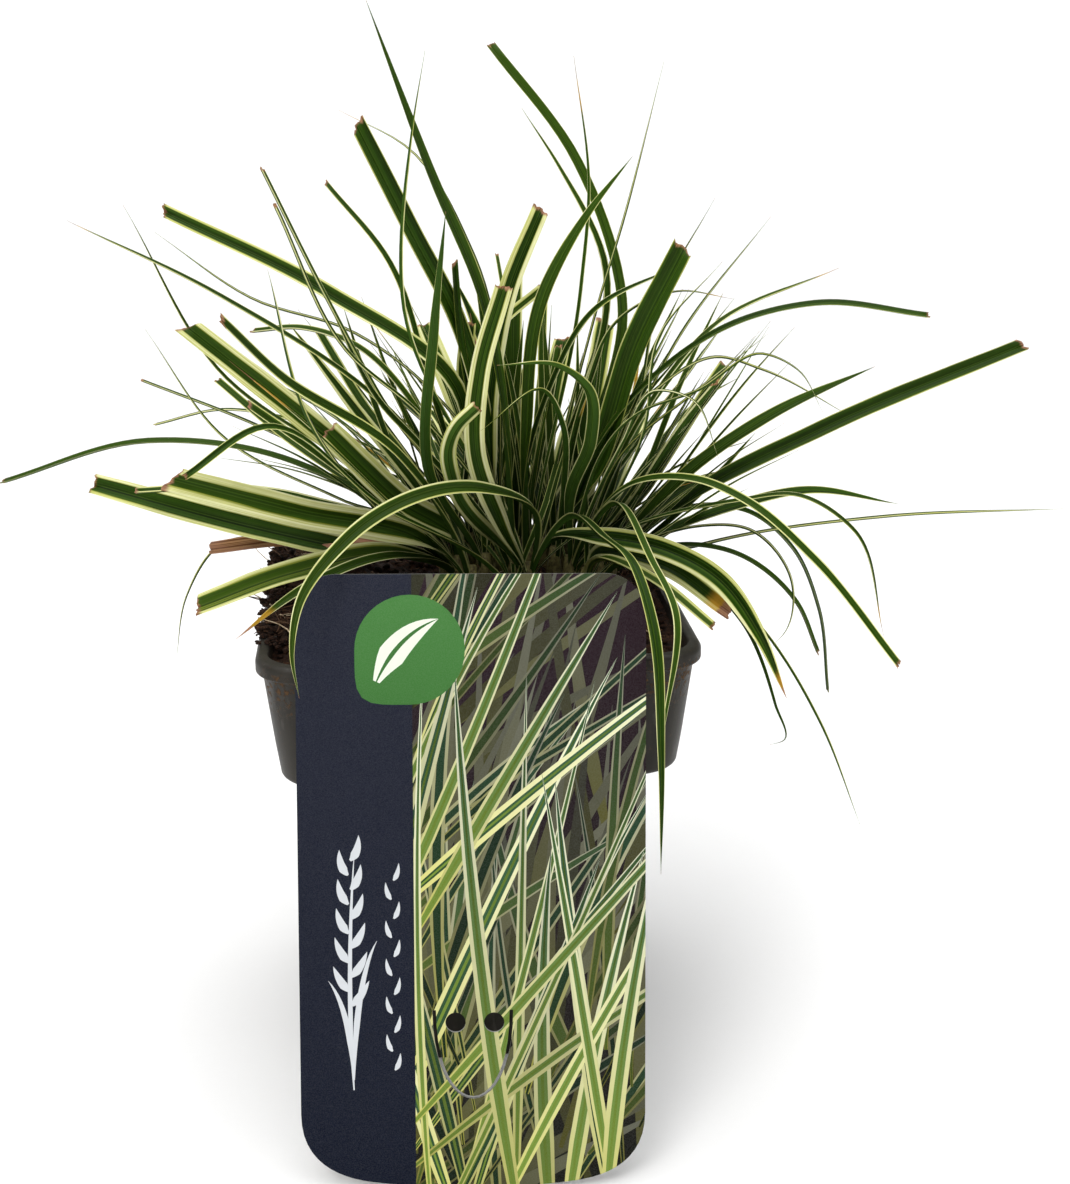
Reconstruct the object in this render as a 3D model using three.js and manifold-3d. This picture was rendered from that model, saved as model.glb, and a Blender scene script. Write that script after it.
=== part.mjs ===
// A variegated carex sedge growing in a square nursery pot, with its plant label leaning on the rim.
// Millimetres, +Z up. The origin is the middle of the pot's flat base. The label stands on the -Y side.
import * as THREE from 'three';
import { mergeVertices } from 'three/addons/utils/BufferGeometryUtils.js';
import Module from 'manifold-3d';

const wasm = await Module();
wasm.setup();

// Driving dimensions.
const RIM_HEIGHT = 100;      // floor to the top of the lip
const RIM_HALF = 45;         // half the outer width across the lip
const LIP_HEIGHT = 3.2;      // depth of the rolled lip
const LIP_STEP = 1.2;        // how far the lip stands out from the collar
const WALL = 1.4;            // wall and floor thickness
const COLLAR_BOTTOM = 72;    // height of the lower edge of the wide collar
const COLLAR_HALF = 41.2;    // half the outer width of the collar at its lower edge
const SHOULDER_HALF = 35.5;  // half the outer width of the body under the collar
const BASE_HALF = 31;        // half the outer width of the base
const RIM_CORNER = 9;        // corner radius at the lip
const BASE_CORNER = 7;       // corner radius at the base
const CORNER_STEPS = 4;      // straight steps in each rounded corner
const GAP = 0.3;             // clear space between pieces that touch
const CLUMP_TURN = -5.7;     // degrees that the clump is turned in the pot
const CROWN = [13, 4];       // middle of the clump, in its own frame
const CROWN_REACH = [22, 17];   // half the length and half the width of the clump at the soil
const TILLER_PITCH = 6.2;    // distance between neighbouring tillers
const STEM_RADIUS = 1.7;     // sheathed foot of a tiller
const STEM_DEPTH = 12;       // how deep a foot goes into the soil
const STEM_RISE = 5;         // how far a foot shows above the soil
const STEM_SIDES = 6;
const ROOT_RISE = 2;         // leaves leave the foot this far above the soil
const ROOT_OFFSET = 0.7;     // and this far from its middle
const SOIL_LEVEL = -4;       // soil at the wall, from the top of the rim
const LEAF_THICK = 0.9;      // broad leaves, at the midrib
const THREAD_THICK = 0.7;    // narrow leaves
const THREAD_WIDTH = 2;      // leaves up to this width are narrow ones
const LEAVES_PER_TILLER = 9;
const FOOT_REACH = 13;       // leaves of one tiller may cross this near their foot
const CELL = 1.25;           // size of the cells that keep tillers clear of one another
const SAMPLE = 0.65;         // distance between the points that are entered in the cells
const LABEL = { width: 68, length: 122, thick: 0.6, lean: 14.5, turn: -5, x: 1.5 };

const radians = (degrees) => degrees * Math.PI / 180;
const mix = (a, b, t) => a + (b - a) * t;
const clamp01 = (t) => Math.min(1, Math.max(0, t));
const ease = (t) => { const u = clamp01(t); return u * u * (3 - 2 * u); };

// Vectors are plain arrays.
const add = (a, b) => [a[0] + b[0], a[1] + b[1], a[2] + b[2]];
const sub = (a, b) => [a[0] - b[0], a[1] - b[1], a[2] - b[2]];
const scale = (a, k) => [a[0] * k, a[1] * k, a[2] * k];
const dot = (a, b) => a[0] * b[0] + a[1] * b[1] + a[2] * b[2];
const cross = (a, b) => [a[1] * b[2] - a[2] * b[1], a[2] * b[0] - a[0] * b[2], a[0] * b[1] - a[1] * b[0]];
const size = (a) => Math.sqrt(dot(a, a));
const unit = (a) => scale(a, 1 / size(a));
const turned = ([x, y], degrees) => {
  const c = Math.cos(radians(degrees));
  const s = Math.sin(radians(degrees));
  return [x * c - y * s, x * s + y * c];
};

// A repeatable generator of numbers from 0 to 1.
function seeded(seed) {
  let state = seed >>> 0;
  return () => {
    state = (state + 0x6D2B79F5) >>> 0;
    let t = Math.imul(state ^ (state >>> 15), 1 | state);
    t = (t + Math.imul(t ^ (t >>> 7), 61 | t)) ^ t;
    return ((t ^ (t >>> 14)) >>> 0) / 4294967296;
  };
}

// Solids and meshes.
function solidFrom(points, triangles) {
  return new wasm.Manifold(new wasm.Mesh({
    numProp: 3,
    vertProperties: new Float32Array(points.flat()),
    triVerts: new Uint32Array(triangles.flat()),
  }));
}

function solidFromGeometry(geometry) {
  const bare = geometry.clone();
  bare.deleteAttribute('normal');
  bare.deleteAttribute('uv');
  const merged = mergeVertices(bare, 1e-4);
  return new wasm.Manifold(new wasm.Mesh({
    numProp: 3,
    vertProperties: merged.attributes.position.array,
    triVerts: new Uint32Array(merged.index.array),
  }));
}

// The triangles of the largest connected surface: a sealed hollow between leaves and a loose scrap are left out.
function mainShell(triangles, pointCount) {
  const parent = Array.from({ length: pointCount }, (_, i) => i);
  const rootOf = (i) => {
    while (parent[i] !== i) {
      parent[i] = parent[parent[i]];
      i = parent[i];
    }
    return i;
  };
  for (let t = 0; t < triangles.length; t += 3) {
    parent[rootOf(triangles[t + 1])] = rootOf(triangles[t]);
    parent[rootOf(triangles[t + 2])] = rootOf(triangles[t]);
  }
  const counts = new Map();
  for (let t = 0; t < triangles.length; t += 3) {
    const root = rootOf(triangles[t]);
    counts.set(root, (counts.get(root) ?? 0) + 1);
  }
  const [largest] = [...counts].sort((a, b) => b[1] - a[1])[0];
  const kept = [];
  for (let t = 0; t < triangles.length; t += 3) {
    if (rootOf(triangles[t]) === largest) kept.push(triangles[t], triangles[t + 1], triangles[t + 2]);
  }
  return kept;
}

function geometryFromSolid(solid) {
  const mesh = solid.getMesh();
  const geometry = new THREE.BufferGeometry();
  geometry.setAttribute('position', new THREE.BufferAttribute(new Float32Array(mesh.vertProperties), 3));
  geometry.setIndex(mainShell(mesh.triVerts, mesh.vertProperties.length / 3));
  geometry.computeVertexNormals();
  return geometry;
}

// A square outline with rounded corners, anticlockwise seen from above.
function roundedSquare(half, radius) {
  const outline = [];
  for (let corner = 0; corner < 4; corner += 1) {
    for (let step = 0; step <= CORNER_STEPS; step += 1) {
      const angle = radians(90 * (corner + step / CORNER_STEPS));
      const middle = turned([half - radius, half - radius], 90 * corner);
      outline.push([middle[0] + radius * Math.cos(angle), middle[1] + radius * Math.sin(angle)]);
    }
  }
  return outline;
}

// A closed solid through a stack of rings, each an outline at a height, closed by a middle point at both ends.
function lofted(rings, firstMiddle, lastMiddle) {
  const sides = rings[0].length;
  const points = [firstMiddle, ...rings.flat(), lastMiddle];
  const last = points.length - 1;
  const triangles = [];
  for (let i = 0; i < sides; i += 1) {
    const next = (i + 1) % sides;
    triangles.push([0, 1 + next, 1 + i]);
    for (let ring = 0; ring + 1 < rings.length; ring += 1) {
      const low = 1 + ring * sides;
      const high = low + sides;
      triangles.push([low + i, low + next, high + next], [low + i, high + next, high + i]);
    }
    const top = 1 + (rings.length - 1) * sides;
    triangles.push([top + i, top + next, last]);
  }
  return solidFrom(points, triangles);
}

// Pot.
const bodyHalfAt = (z) => mix(BASE_HALF, SHOULDER_HALF, clamp01(z / COLLAR_BOTTOM));
const collarHalfAt = (z) => {
  return mix(COLLAR_HALF, RIM_HALF - LIP_STEP, clamp01((z - COLLAR_BOTTOM) / (RIM_HEIGHT - LIP_HEIGHT - COLLAR_BOTTOM)));
};
const wallHalfAt = (z) => (z < COLLAR_BOTTOM ? bodyHalfAt(z) : collarHalfAt(z));
const cornerAt = (z) => mix(BASE_CORNER, RIM_CORNER, clamp01(z / RIM_HEIGHT));
const ring = (half, radius, z) => roundedSquare(half, radius).map(([x, y]) => [x, y, z]);

function potSolid() {
  const lipBottom = RIM_HEIGHT - LIP_HEIGHT;
  const ledge = COLLAR_BOTTOM + WALL;
  const edge = 0.6;            // rounding of the lip and of the base's edge
  const roll = 2;              // rounding of the collar's lower edge
  const drain = { radius: 4, place: 17 };
  const sideDrain = { radius: 2.5, place: 21 };
  const outside = [
    [BASE_HALF - edge, 0],
    [bodyHalfAt(edge), edge],
    [SHOULDER_HALF, COLLAR_BOTTOM],
    [COLLAR_HALF - roll, COLLAR_BOTTOM],
    [COLLAR_HALF - 0.3 * roll, COLLAR_BOTTOM + 0.3 * roll],
    [collarHalfAt(COLLAR_BOTTOM + roll), COLLAR_BOTTOM + roll],
    [collarHalfAt(lipBottom), lipBottom - edge],
    [RIM_HALF - edge / 2, lipBottom],
    [RIM_HALF, lipBottom + edge],
    [RIM_HALF, RIM_HEIGHT - edge],
    [RIM_HALF - edge, RIM_HEIGHT],
  ];
  const rings = outside.map(([half, z]) => ring(half, cornerAt(z), z));
  const inside = [
    [collarHalfAt(RIM_HEIGHT) - WALL + edge, RIM_HEIGHT],
    [collarHalfAt(RIM_HEIGHT) - WALL, RIM_HEIGHT - edge],
    [collarHalfAt(ledge) - WALL, ledge],
    [SHOULDER_HALF - WALL, ledge],
    [BASE_HALF - WALL, WALL],
  ];
  rings.push(...inside.map(([half, z]) => ring(half, cornerAt(z) - WALL, z)));
  let pot = lofted(rings, [0, 0, 0], [0, 0, WALL]);
  const bore = (radius, x, y) => {
    const hole = new THREE.CylinderGeometry(radius, radius, 4 * WALL, 12).rotateX(Math.PI / 2).translate(x, y, 0);
    pot = pot.subtract(solidFromGeometry(hole));
  };
  for (let quarter = 0; quarter < 4; quarter += 1) {
    bore(drain.radius, ...turned([drain.place, drain.place], 90 * quarter));
    bore(sideDrain.radius, ...turned([sideDrain.place, 0], 90 * quarter));
  }
  return pot;
}

// Soil: level near the wall, raised round the crown and heaped on the back left of the rim.
const hump = (x, y, middleX, middleY, reach) => Math.exp(-((x - middleX) ** 2 + (y - middleY) ** 2) / (2 * reach ** 2));
const soilHeight = (x, y) => (
  RIM_HEIGHT + SOIL_LEVEL + 5.5 * hump(x, y, 12, 3, 22) + 7 * hump(x, y, -34, 12, 13) + 2 * hump(x, y, 10, 34, 20)
);

function soilSolid(tillers) {
  const ringCount = 6;
  const crumb = 0.5;           // height of the crumbs
  const floor = WALL + GAP;
  const ledge = COLLAR_BOTTOM + WALL + GAP;
  const inset = WALL + 2 * GAP;
  const sinkBelowRim = 1.2;    // the soil's edge stays this far under the top of the lip
  const edgeOutline = roundedSquare(collarHalfAt(RIM_HEIGHT) - inset, cornerAt(RIM_HEIGHT) - WALL);
  const random = seeded(71);
  const top = [];
  for (let step = ringCount; step >= 1; step -= 1) {
    const k = step / ringCount;
    top.push(edgeOutline.map(([x, y]) => {
      const free = soilHeight(x * k, y * k) + crumb * (2 * random() - 1);
      return [x * k, y * k, step === ringCount ? Math.min(free, RIM_HEIGHT - sinkBelowRim) : free];
    }));
  }
  const filled = [
    [BASE_HALF - inset, floor],
    [SHOULDER_HALF - inset, ledge],
    [collarHalfAt(ledge) - inset, ledge],
  ].map(([half, z]) => ring(half, cornerAt(z) - WALL, z));
  let soil = lofted([...filled, ...top], [0, 0, floor], [0, 0, soilHeight(0, 0)]);
  for (const { x, y, ground } of tillers) {
    const radius = STEM_RADIUS + GAP + 0.1;
    const depth = STEM_DEPTH + GAP;
    const hole = new THREE.CylinderGeometry(radius, radius, depth + 10, STEM_SIDES);
    hole.rotateX(Math.PI / 2).translate(x, y, ground - depth + (depth + 10) / 2);
    soil = soil.subtract(solidFromGeometry(hole));
  }
  return soil;
}

// Label: a thin card that stands on the floor and leans on the lip, with two round holes and a tongue slit.
function labelOutline() {
  const half = LABEL.width / 2;
  const top = LABEL.length;
  const topRadius = 8;
  const side = 15;             // the straight sides end this far above the foot
  const bowHalf = 20;          // half the length of the bowed bottom edge
  const bowRise = 1.3;         // how much its ends rise
  const shape = new THREE.Shape();
  shape.moveTo(half, side);
  shape.lineTo(half, top - topRadius);
  shape.absarc(half - topRadius, top - topRadius, topRadius, 0, Math.PI / 2);
  shape.absarc(topRadius - half, top - topRadius, topRadius, Math.PI / 2, Math.PI);
  shape.lineTo(-half, side);
  shape.bezierCurveTo(-half, side * 0.37, -bowHalf * 1.35, bowRise * 1.72, -bowHalf, bowRise);
  shape.bezierCurveTo(-bowHalf * 0.35, -bowRise / 3, bowHalf * 0.35, -bowRise / 3, bowHalf, bowRise);
  shape.bezierCurveTo(bowHalf * 1.35, bowRise * 1.72, half, side * 0.37, half, side);
  return shape;
}

function tongueSlit() {
  const slit = { half: 7.6, top: 36, bottom: 12.5, width: 0.7 };
  const outer = (offset) => {
    const curve = new THREE.Path();
    curve.moveTo(-slit.half - offset, slit.top);
    curve.bezierCurveTo(-slit.half - offset, slit.bottom - offset, slit.half + offset, slit.bottom - offset,
      slit.half + offset, slit.top);
    return curve.getPoints(10);
  };
  return new THREE.Path([...outer(slit.width / 2), ...outer(-slit.width / 2).reverse()]);
}

function labelGeometry() {
  const hole = { radius: 2, height: 35.5, apart: 7.6 };
  const shape = labelOutline();
  for (const side of [-1, 1]) {
    shape.holes.push(new THREE.Path().absarc(side * hole.apart / 2 + 0.4, hole.height - 2, hole.radius, 0, 2 * Math.PI));
  }
  shape.holes.push(tongueSlit());
  return new THREE.ExtrudeGeometry(shape, { depth: LABEL.thick, bevelEnabled: false, curveSegments: 6 });
}

// Leaves. A row is the flat width, how far the upper side turns to the front in degrees, the kind of end, and
// the points that the leaf passes on its way to the tip: right, back and above the rim, in the clump's frame.
const LISTED = [
  [3.2, 40, 'point', [[14, -10, 21], [4, -18, 28], [-10, -32, 30], [-22, -45, 25], [-30, -54, 15],
    [-31, -58, 7], [-30, -58, -2]]],
  [4.8, 75, 'cut', [[7, -13, 19], [2, -13, 35], [3, -10, 51], [8, -6, 68]]],
  [3.8, 80, 'cut', [[-2, -17, 28], [-3, -20, 37], [-1, -22, 42], [3, -22, 46]]],
  [5, 55, 'point', [[18, -6, 11], [29, -10, 15], [42, -15, 14], [53, -20, 9], [61, -25, -1],
    [67, -29, -14]]],
  [3, 40, 'point', [[22, -14, 21], [28, -28, 21], [33, -43, 20], [36, -54, 11], [37, -63, -8],
    [37, -71, -29]]],
  [4, 45, 'cut', [[28, -16, 12], [39, -28, 11], [50, -36, 4]]],
  [5.2, 45, 'cut', [[28, -10, 10], [42, -18, 10], [57, -26, 1]]],
  [5, 60, 'cut', [[5, 6, 44], [9, 8, 65], [16, 10, 82]]],
  [3.2, 40, 'cut', [[4, 6, 40], [6, 4, 54], [18, 2, 65]]],
  [2.4, 40, 'point', [[31, -10, 15], [38, -36, 17], [42, -50, 10], [40, -58, -8], [39, -61, -16]]],
  [7, 70, 'cut', [[-10, -8, 14], [-35, -16, 23], [-59, -24, 32]]],
  [7, 60, 'cut', [[-3, 0, 11], [-15, -2, 21], [-30, -4, 37]]],
  [6.5, 50, 'cut', [[-31, 4, 9], [-54, 6, 14], [-84, 8, 22]]],
  [6.5, 35, 'cut', [[-15, -4, 9], [-38, -10, 7], [-57, -18, 2]]],
  [6, 70, 'cut', [[-15, 0, 20], [-35, -4, 39], [-58, -8, 59]]],
  [4.4, 50, 'cut', [[-3, 4, 45], [-30, 8, 64], [-65, 10, 81]]],
  [6.4, 60, 'cut', [[30, 0, 34], [36, -4, 56], [45, -8, 76]]],
  [3.6, 60, 'point', [[13, 2, 34], [17, -4, 67], [25, -6, 82], [34, -8, 94]]],
  [3, 60, 'point', [[3, 2, 65], [-7, -4, 91], [-18, -10, 123]]],
  [5, 60, 'cut', [[-3, 6, 57], [-12, 4, 79], [-22, 2, 100]]],
  [2.8, 40, 'cut', [[33, 12, 64], [23, 18, 92], [5, 22, 115]]],
  [3, 40, 'point', [[22, -6, 20], [26, -12, 37], [25, -17, 49], [19, -20, 54], [7, -24, 55]]],
  [4.4, 60, 'cut', [[2, 12, 29], [-1, 12, 45], [0, 12, 57]]],
  [2.8, 50, 'cut', [[0, 4, 38], [-2, 4, 57], [-3, 4, 72]]],
  [2.6, 50, 'point', [[-8, -10, 30], [-6, -14, 60], [-3, -16, 84]]],
  [2.6, 30, 'point', [[13, 6, 26], [18, 4, 44], [27, 2, 61], [46, -2, 72]]],
  [1.8, 20, 'point', [[21, 0, 23], [21, -4, 40], [17, -8, 49], [5, -12, 42]]],
  [4, 50, 'cut', [[49, 4, 20], [77, 6, 35], [121, 10, 53]]],
  [3.4, 40, 'point', [[45, 0, 24], [65, -2, 40], [86, -4, 51]]],
  [2.4, 20, 'cut', [[37, -4, 46], [57, -8, 61], [72, -11, 65], [94, -14, 63]]],
  [2, 20, 'point', [[38, 8, 37], [54, 12, 57], [81, 16, 69]]],
  [3, 30, 'point', [[42, -2, 13], [60, -1, 20], [73, -1, 23], [94, 0, 20]]],
  [2, 30, 'cut', [[37, -12, 23], [49, -20, 30], [58, -26, 27], [71, -34, 17], [88, -42, -3]]],
  [2, 30, 'cut', [[49, 10, 16], [62, 12, 15], [74, 15, 5], [81, 17, -10], [85, 20, -32]]],
  [1.6, 20, 'point', [[59, -8, 21], [70, -12, 25], [81, -17, 19], [88, -22, -3]]],
  [2, 20, 'cut', [[42, 0, 10], [58, -3, 10], [71, -5, 0], [76, -6, -11]]],
  [5, 40, 'cut', [[-16, 8, 9], [-36, 10, 12], [-53, 11, 12]]],
  [5.4, 30, 'point', [[-16, 10, 6], [-35, 14, 9], [-59, 17, 5]]],
  [5, 20, 'cut', [[-15, -2, 8], [-38, 2, 9], [-59, 5, 5]]],
  [3.6, 10, 'cut', [[-37, 0, 21], [-52, 1, 23], [-73, 2, 22]]],
  [2.6, 20, 'cut', [[-38, 10, 26], [-73, 16, 30], [-109, 22, 19]]],
  [3.4, 40, 'point', [[-10, 0, 20], [-24, 2, 37], [-39, 4, 56]]],
  [3, 30, 'cut', [[-17, -2, 19], [-31, -4, 31], [-46, -6, 43]]],
  [3, 40, 'cut', [[-14, -14, 35], [-36, -24, 54], [-45, -30, 66]]],
  [2.6, 20, 'cut', [[-9, 8, 35], [-26, 12, 53], [-37, 14, 56], [-48, 16, 55]]],
  [2.6, 30, 'cut', [[-14, 4, 25], [-23, 6, 37], [-33, 8, 52]]],
  [2.4, 30, 'point', [[-11, 0, 25], [-19, 2, 43], [-29, 4, 64]]],
  [2.2, 20, 'point', [[-19, -10, 19], [-31, -18, 41], [-37, -26, 74]]],
  [2.6, 20, 'cut', [[-28, 8, 22], [-43, 12, 30], [-58, 14, 41]]],
  [2, 20, 'point', [[-15, 10, 36], [-54, 18, 63], [-88, 26, 79]]],
  [1.8, 20, 'cut', [[-20, 10, 40], [-32, 12, 67], [-43, 14, 91]]],
  [1.6, 20, 'cut', [[-10, -6, 36], [-24, -12, 55], [-37, -16, 85]]],
  [2, 30, 'cut', [[-9, 10, 45], [-17, 14, 69], [-31, 16, 86]]],
  [1.6, 20, 'point', [[-10, 6, 24], [-16, 8, 42], [-23, 10, 63]]],
  [1.4, 20, 'point', [[-32, 12, 24], [-54, 14, 44], [-75, 16, 82]]],
  [1.8, 30, 'cut', [[-18, -16, 25], [-39, -30, 45], [-52, -38, 38]]],
  [1.4, 0, 'point', [[-20, 4, 54], [-36, 6, 58], [-52, 8, 59], [-71, 10, 56], [-89, 12, 51]]],
  [1.4, 0, 'cut', [[-16, 16, 24], [-39, 22, 31], [-59, 28, 32], [-78, 34, 26]]],
  [1.4, 0, 'cut', [[-29, 20, 22], [-49, 24, 31], [-77, 28, 41]]],
  [1.4, 0, 'point', [[-28, 30, 50], [-50, 32, 60], [-72, 34, 75]]],
  [2.4, 30, 'point', [[-14, -10, 11], [-34, -24, 8], [-46, -34, 1]]],
  [1.1, 0, 'point', [[-30, 14, 17], [-57, 20, 30], [-74, 24, 54]]],
  [1.1, 0, 'point', [[-32, 12, 6], [-58, 15, 6], [-67, 17, -7], [-71, 18, -24]]],
  [1.4, 0, 'point', [[52, 2, 10], [91, 0, 17], [129, -4, 20]]],
  [2, 0, 'point', [[44, 6, 5], [60, -2, -6], [68, -8, -24], [70, -10, -32], [67, -10, -33]]],
  [1.2, 0, 'point', [[50, 10, 4], [66, 2, -10], [79, -4, -30], [89, -8, -54]]],
  [1.4, 0, 'point', [[50, -4, 16], [61, -7, 16], [70, -10, 5], [69, -12, -5], [66, -12, -9]]],
  [1.5, 0, 'point', [[25, 2, 43], [32, 0, 60], [44, -6, 67], [55, -10, 66]]],
  [1.4, 0, 'point', [[-13, -6, 66], [-10, -10, 99], [-7, -12, 114]]],
  [1.4, 0, 'point', [[1, 10, 71], [-12, 14, 94], [-27, 16, 102]]],
  [1.8, 20, 'point', [[29, 16, 73], [20, 22, 90], [12, 26, 102]]],
  [1.1, 0, 'point', [[25, 4, 66], [27, 4, 87], [24, 4, 113]]],
  [1.1, 0, 'point', [[27, 14, 56], [33, 20, 81], [40, 24, 112]]],
  [1.1, 0, 'point', [[38, 10, 41], [42, 14, 60], [55, 20, 83]]],
  [1.1, 0, 'point', [[36, 14, 33], [47, 18, 54], [67, 26, 79]]],
  [1.1, 0, 'point', [[38, -8, 40], [40, -10, 58], [52, -14, 74]]],
  [1.3, 0, 'point', [[39, 4, 43], [54, 7, 51], [64, 9, 48], [86, 14, 36]]],
  [1.3, 0, 'point', [[36, -14, 38], [48, -20, 49], [60, -25, 57], [67, -28, 54], [72, -30, 46]]],
  [1.2, 0, 'point', [[33, 6, 30], [48, 8, 44], [63, 10, 57]]],
  [1.3, 0, 'point', [[33, -8, 36], [39, -12, 48], [46, -15, 47], [51, -18, 36]]],
  [2.4, 20, 'point', [[40, 6, 10], [52, 8, 21], [63, 10, 34]]],
];

// How a leaf may be moved until it is clear of the other tillers: its tip, and the rise of its first point.
const SHIFTS = [
  [0, 0, 0, 0], [0, 0, 0, 2], [0, 2, 0, 0], [0, -2, 0, 0], [0, 0, 0, 4], [0, 4, 0, 0], [0, -4, 0, 0], [0, 0, 1, -2],
  [0, 2, 0, 3], [0, -2, 0, 3], [0, 6, 0, 0], [0, -6, 0, 0], [0, 4, 0, 5], [0, -4, 0, 5], [2, 0, 1, 2], [-2, 0, 1, 2],
  [0, 9, 0, 0], [0, -9, 0, 0], [0, 6, 0, 7], [2, 4, -2, 0], [-2, -4, -2, 0], [0, 13, 0, 0], [0, -13, 0, 3],
  [0, 18, 0, 0], [0, -9, 0, 9], [3, -6, 3, 4], [-3, 6, 3, 4], [0, 24, 0, 2],
];
const NEAREST = 16;            // tillers that a listed leaf may stand on
const FILL_TRIES = 60;         // draws for each leaf of the fill

// Tillers stand in rows, a little out of line.
function tillerPlaces() {
  const random = seeded(5);
  const places = [];
  const rowStep = TILLER_PITCH * Math.sqrt(3) / 2;
  const rows = Math.floor(CROWN_REACH[1] / rowStep);
  for (let row = -rows; row <= rows; row += 1) {
    for (let column = -4; column <= 4; column += 1) {
      const x = (column + (row & 1) / 2) * TILLER_PITCH + 0.8 * (random() - 0.5);
      const y = row * rowStep + 0.8 * (random() - 0.5);
      if ((x / CROWN_REACH[0]) ** 2 + (y / CROWN_REACH[1]) ** 2 > 1) continue;
      const [potX, potY] = turned([CROWN[0] + x, CROWN[1] + y], CLUMP_TURN);
      places.push({ x: potX, y: potY, ground: soilHeight(potX, potY), leaves: [] });
    }
  }
  return places;
}

// A smooth line through points, starting along a given direction, as a number of equal steps of its chords.
function smoothLine(points, startDirection, steps) {
  const chords = points.slice(1).map((point, i) => size(sub(point, points[i])));
  const slopes = points.map((point, i) => {
    if (i === 0) return startDirection;
    const before = scale(sub(point, points[i - 1]), 1 / chords[i - 1]);
    if (i === points.length - 1) return before;
    const after = scale(sub(points[i + 1], point), 1 / chords[i]);
    const share = chords[i - 1] / (chords[i - 1] + chords[i]);
    return add(scale(before, 1 - share), scale(after, share));
  });
  const total = chords.reduce((sum, chord) => sum + chord, 0);
  const line = [];
  for (let step = 0; step <= steps; step += 1) {
    let along = total * step / steps;
    let i = 0;
    while (i < chords.length - 1 && along > chords[i]) {
      along -= chords[i];
      i += 1;
    }
    const t = along / chords[i];
    const t2 = t * t;
    const t3 = t2 * t;
    line.push(add(
      add(scale(points[i], 2 * t3 - 3 * t2 + 1), scale(points[i + 1], 3 * t2 - 2 * t3)),
      add(scale(slopes[i], (t3 - 2 * t2 + t) * chords[i]), scale(slopes[i + 1], (t3 - t2) * chords[i])),
    ));
  }
  return line;
}

// The turn, in degrees, that brings a leaf's upper side to the front, or its underside where that is nearer by far.
function turnToFront(azimuth) {
  const turn = ((90 - azimuth * 180 / Math.PI + 180) % 360 + 360) % 360 - 180;
  return Math.abs(turn) <= 135 ? turn : turn - 180 * Math.sign(turn);
}

// The cross sections of a leaf: middle, direction to one edge, upper side, half width, fold and half thickness.
const FINE_STEPS = 72;
function leafSections(leaf, tiller, segments) {
  const stem = [tiller.x, tiller.y, tiller.ground + ROOT_RISE];
  const lean = unit([leaf.points[0][0] - stem[0], leaf.points[0][1] - stem[1], 0.01]);
  const root = add(stem, [lean[0] * ROOT_OFFSET, lean[1] * ROOT_OFFSET, 0]);
  const points = [root, ...leaf.points];
  const outward = sub(leaf.points[0], root);
  const start = unit(add([0, 0, 1], scale(unit(outward), 0.6)));
  const line = smoothLine(points, start, FINE_STEPS);
  const reach = sub(leaf.points[leaf.points.length - 1], root);
  const azimuth = Math.atan2(reach[1], reach[0]);
  let side = [-Math.sin(azimuth), Math.cos(azimuth), 0];
  const sections = [];
  const every = FINE_STEPS / segments;
  for (let step = 0; step <= FINE_STEPS; step += 1) {
    const along = unit(sub(line[Math.min(step + 1, FINE_STEPS)], line[Math.max(step - 1, 0)]));
    side = unit(sub(side, scale(along, dot(side, along))));
    if (step % every !== 0) continue;
    const t = step / FINE_STEPS;
    const upper = cross(along, side);
    const roll = radians(leaf.face / 90 * turnToFront(azimuth)) * ease(t / 0.4);
    const widen = mix(Math.min(leaf.width, 2.2), leaf.width, ease(t / 0.35));
    const last = clamp01((t - 0.6) / 0.4);
    const taper = leaf.end === 'cut' ? 1 - 0.15 * last * last : 1 - last ** 1.6;
    sections.push({
      middle: line[step],
      side: add(scale(side, Math.cos(roll)), scale(upper, Math.sin(roll))),
      upper: sub(scale(upper, Math.cos(roll)), scale(side, Math.sin(roll))),
      half: widen * taper / 2,
      fold: radians(mix(58, 24, ease(t / 0.4))),
      thick: (leaf.width > THREAD_WIDTH ? LEAF_THICK : THREAD_THICK) / 2,
    });
  }
  return sections;
}

const edgeOf = (section, sign) => add(section.middle, add(
  scale(section.side, sign * section.half * Math.cos(section.fold)),
  scale(section.upper, section.half * Math.sin(section.fold)),
));

// Cells that a leaf passes through, from its two edges and its middle line.
const GRID = { low: [-150, -150, 0], count: [240, 240, 190] };
const cells = new Int16Array(GRID.count[0] * GRID.count[1] * GRID.count[2]);
const cellAlong = (value, axis) => Math.floor((value - GRID.low[axis]) / CELL);
const cellIndex = (i, j, k) => (k * GRID.count[1] + j) * GRID.count[0] + i;

function leafPoints(sections) {
  const points = [];
  for (let i = 0; i + 1 < sections.length; i += 1) {
    const a = sections[i];
    const b = sections[i + 1];
    const rows = [[edgeOf(a, -1), edgeOf(b, -1)], [a.middle, b.middle], [edgeOf(a, 1), edgeOf(b, 1)]];
    const steps = Math.ceil(size(sub(b.middle, a.middle)) / SAMPLE);
    const across = Math.max(1, Math.ceil(Math.max(a.half, b.half) / SAMPLE));
    for (let step = 0; step <= steps; step += 1) {
      const row = rows.map(([from, to]) => add(from, scale(sub(to, from), step / steps)));
      for (let flank = 0; flank < 2; flank += 1) {
        for (let k = 0; k <= across; k += 1) {
          points.push(add(row[flank], scale(sub(row[flank + 1], row[flank]), k / across)));
        }
      }
    }
  }
  return points;
}

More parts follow.
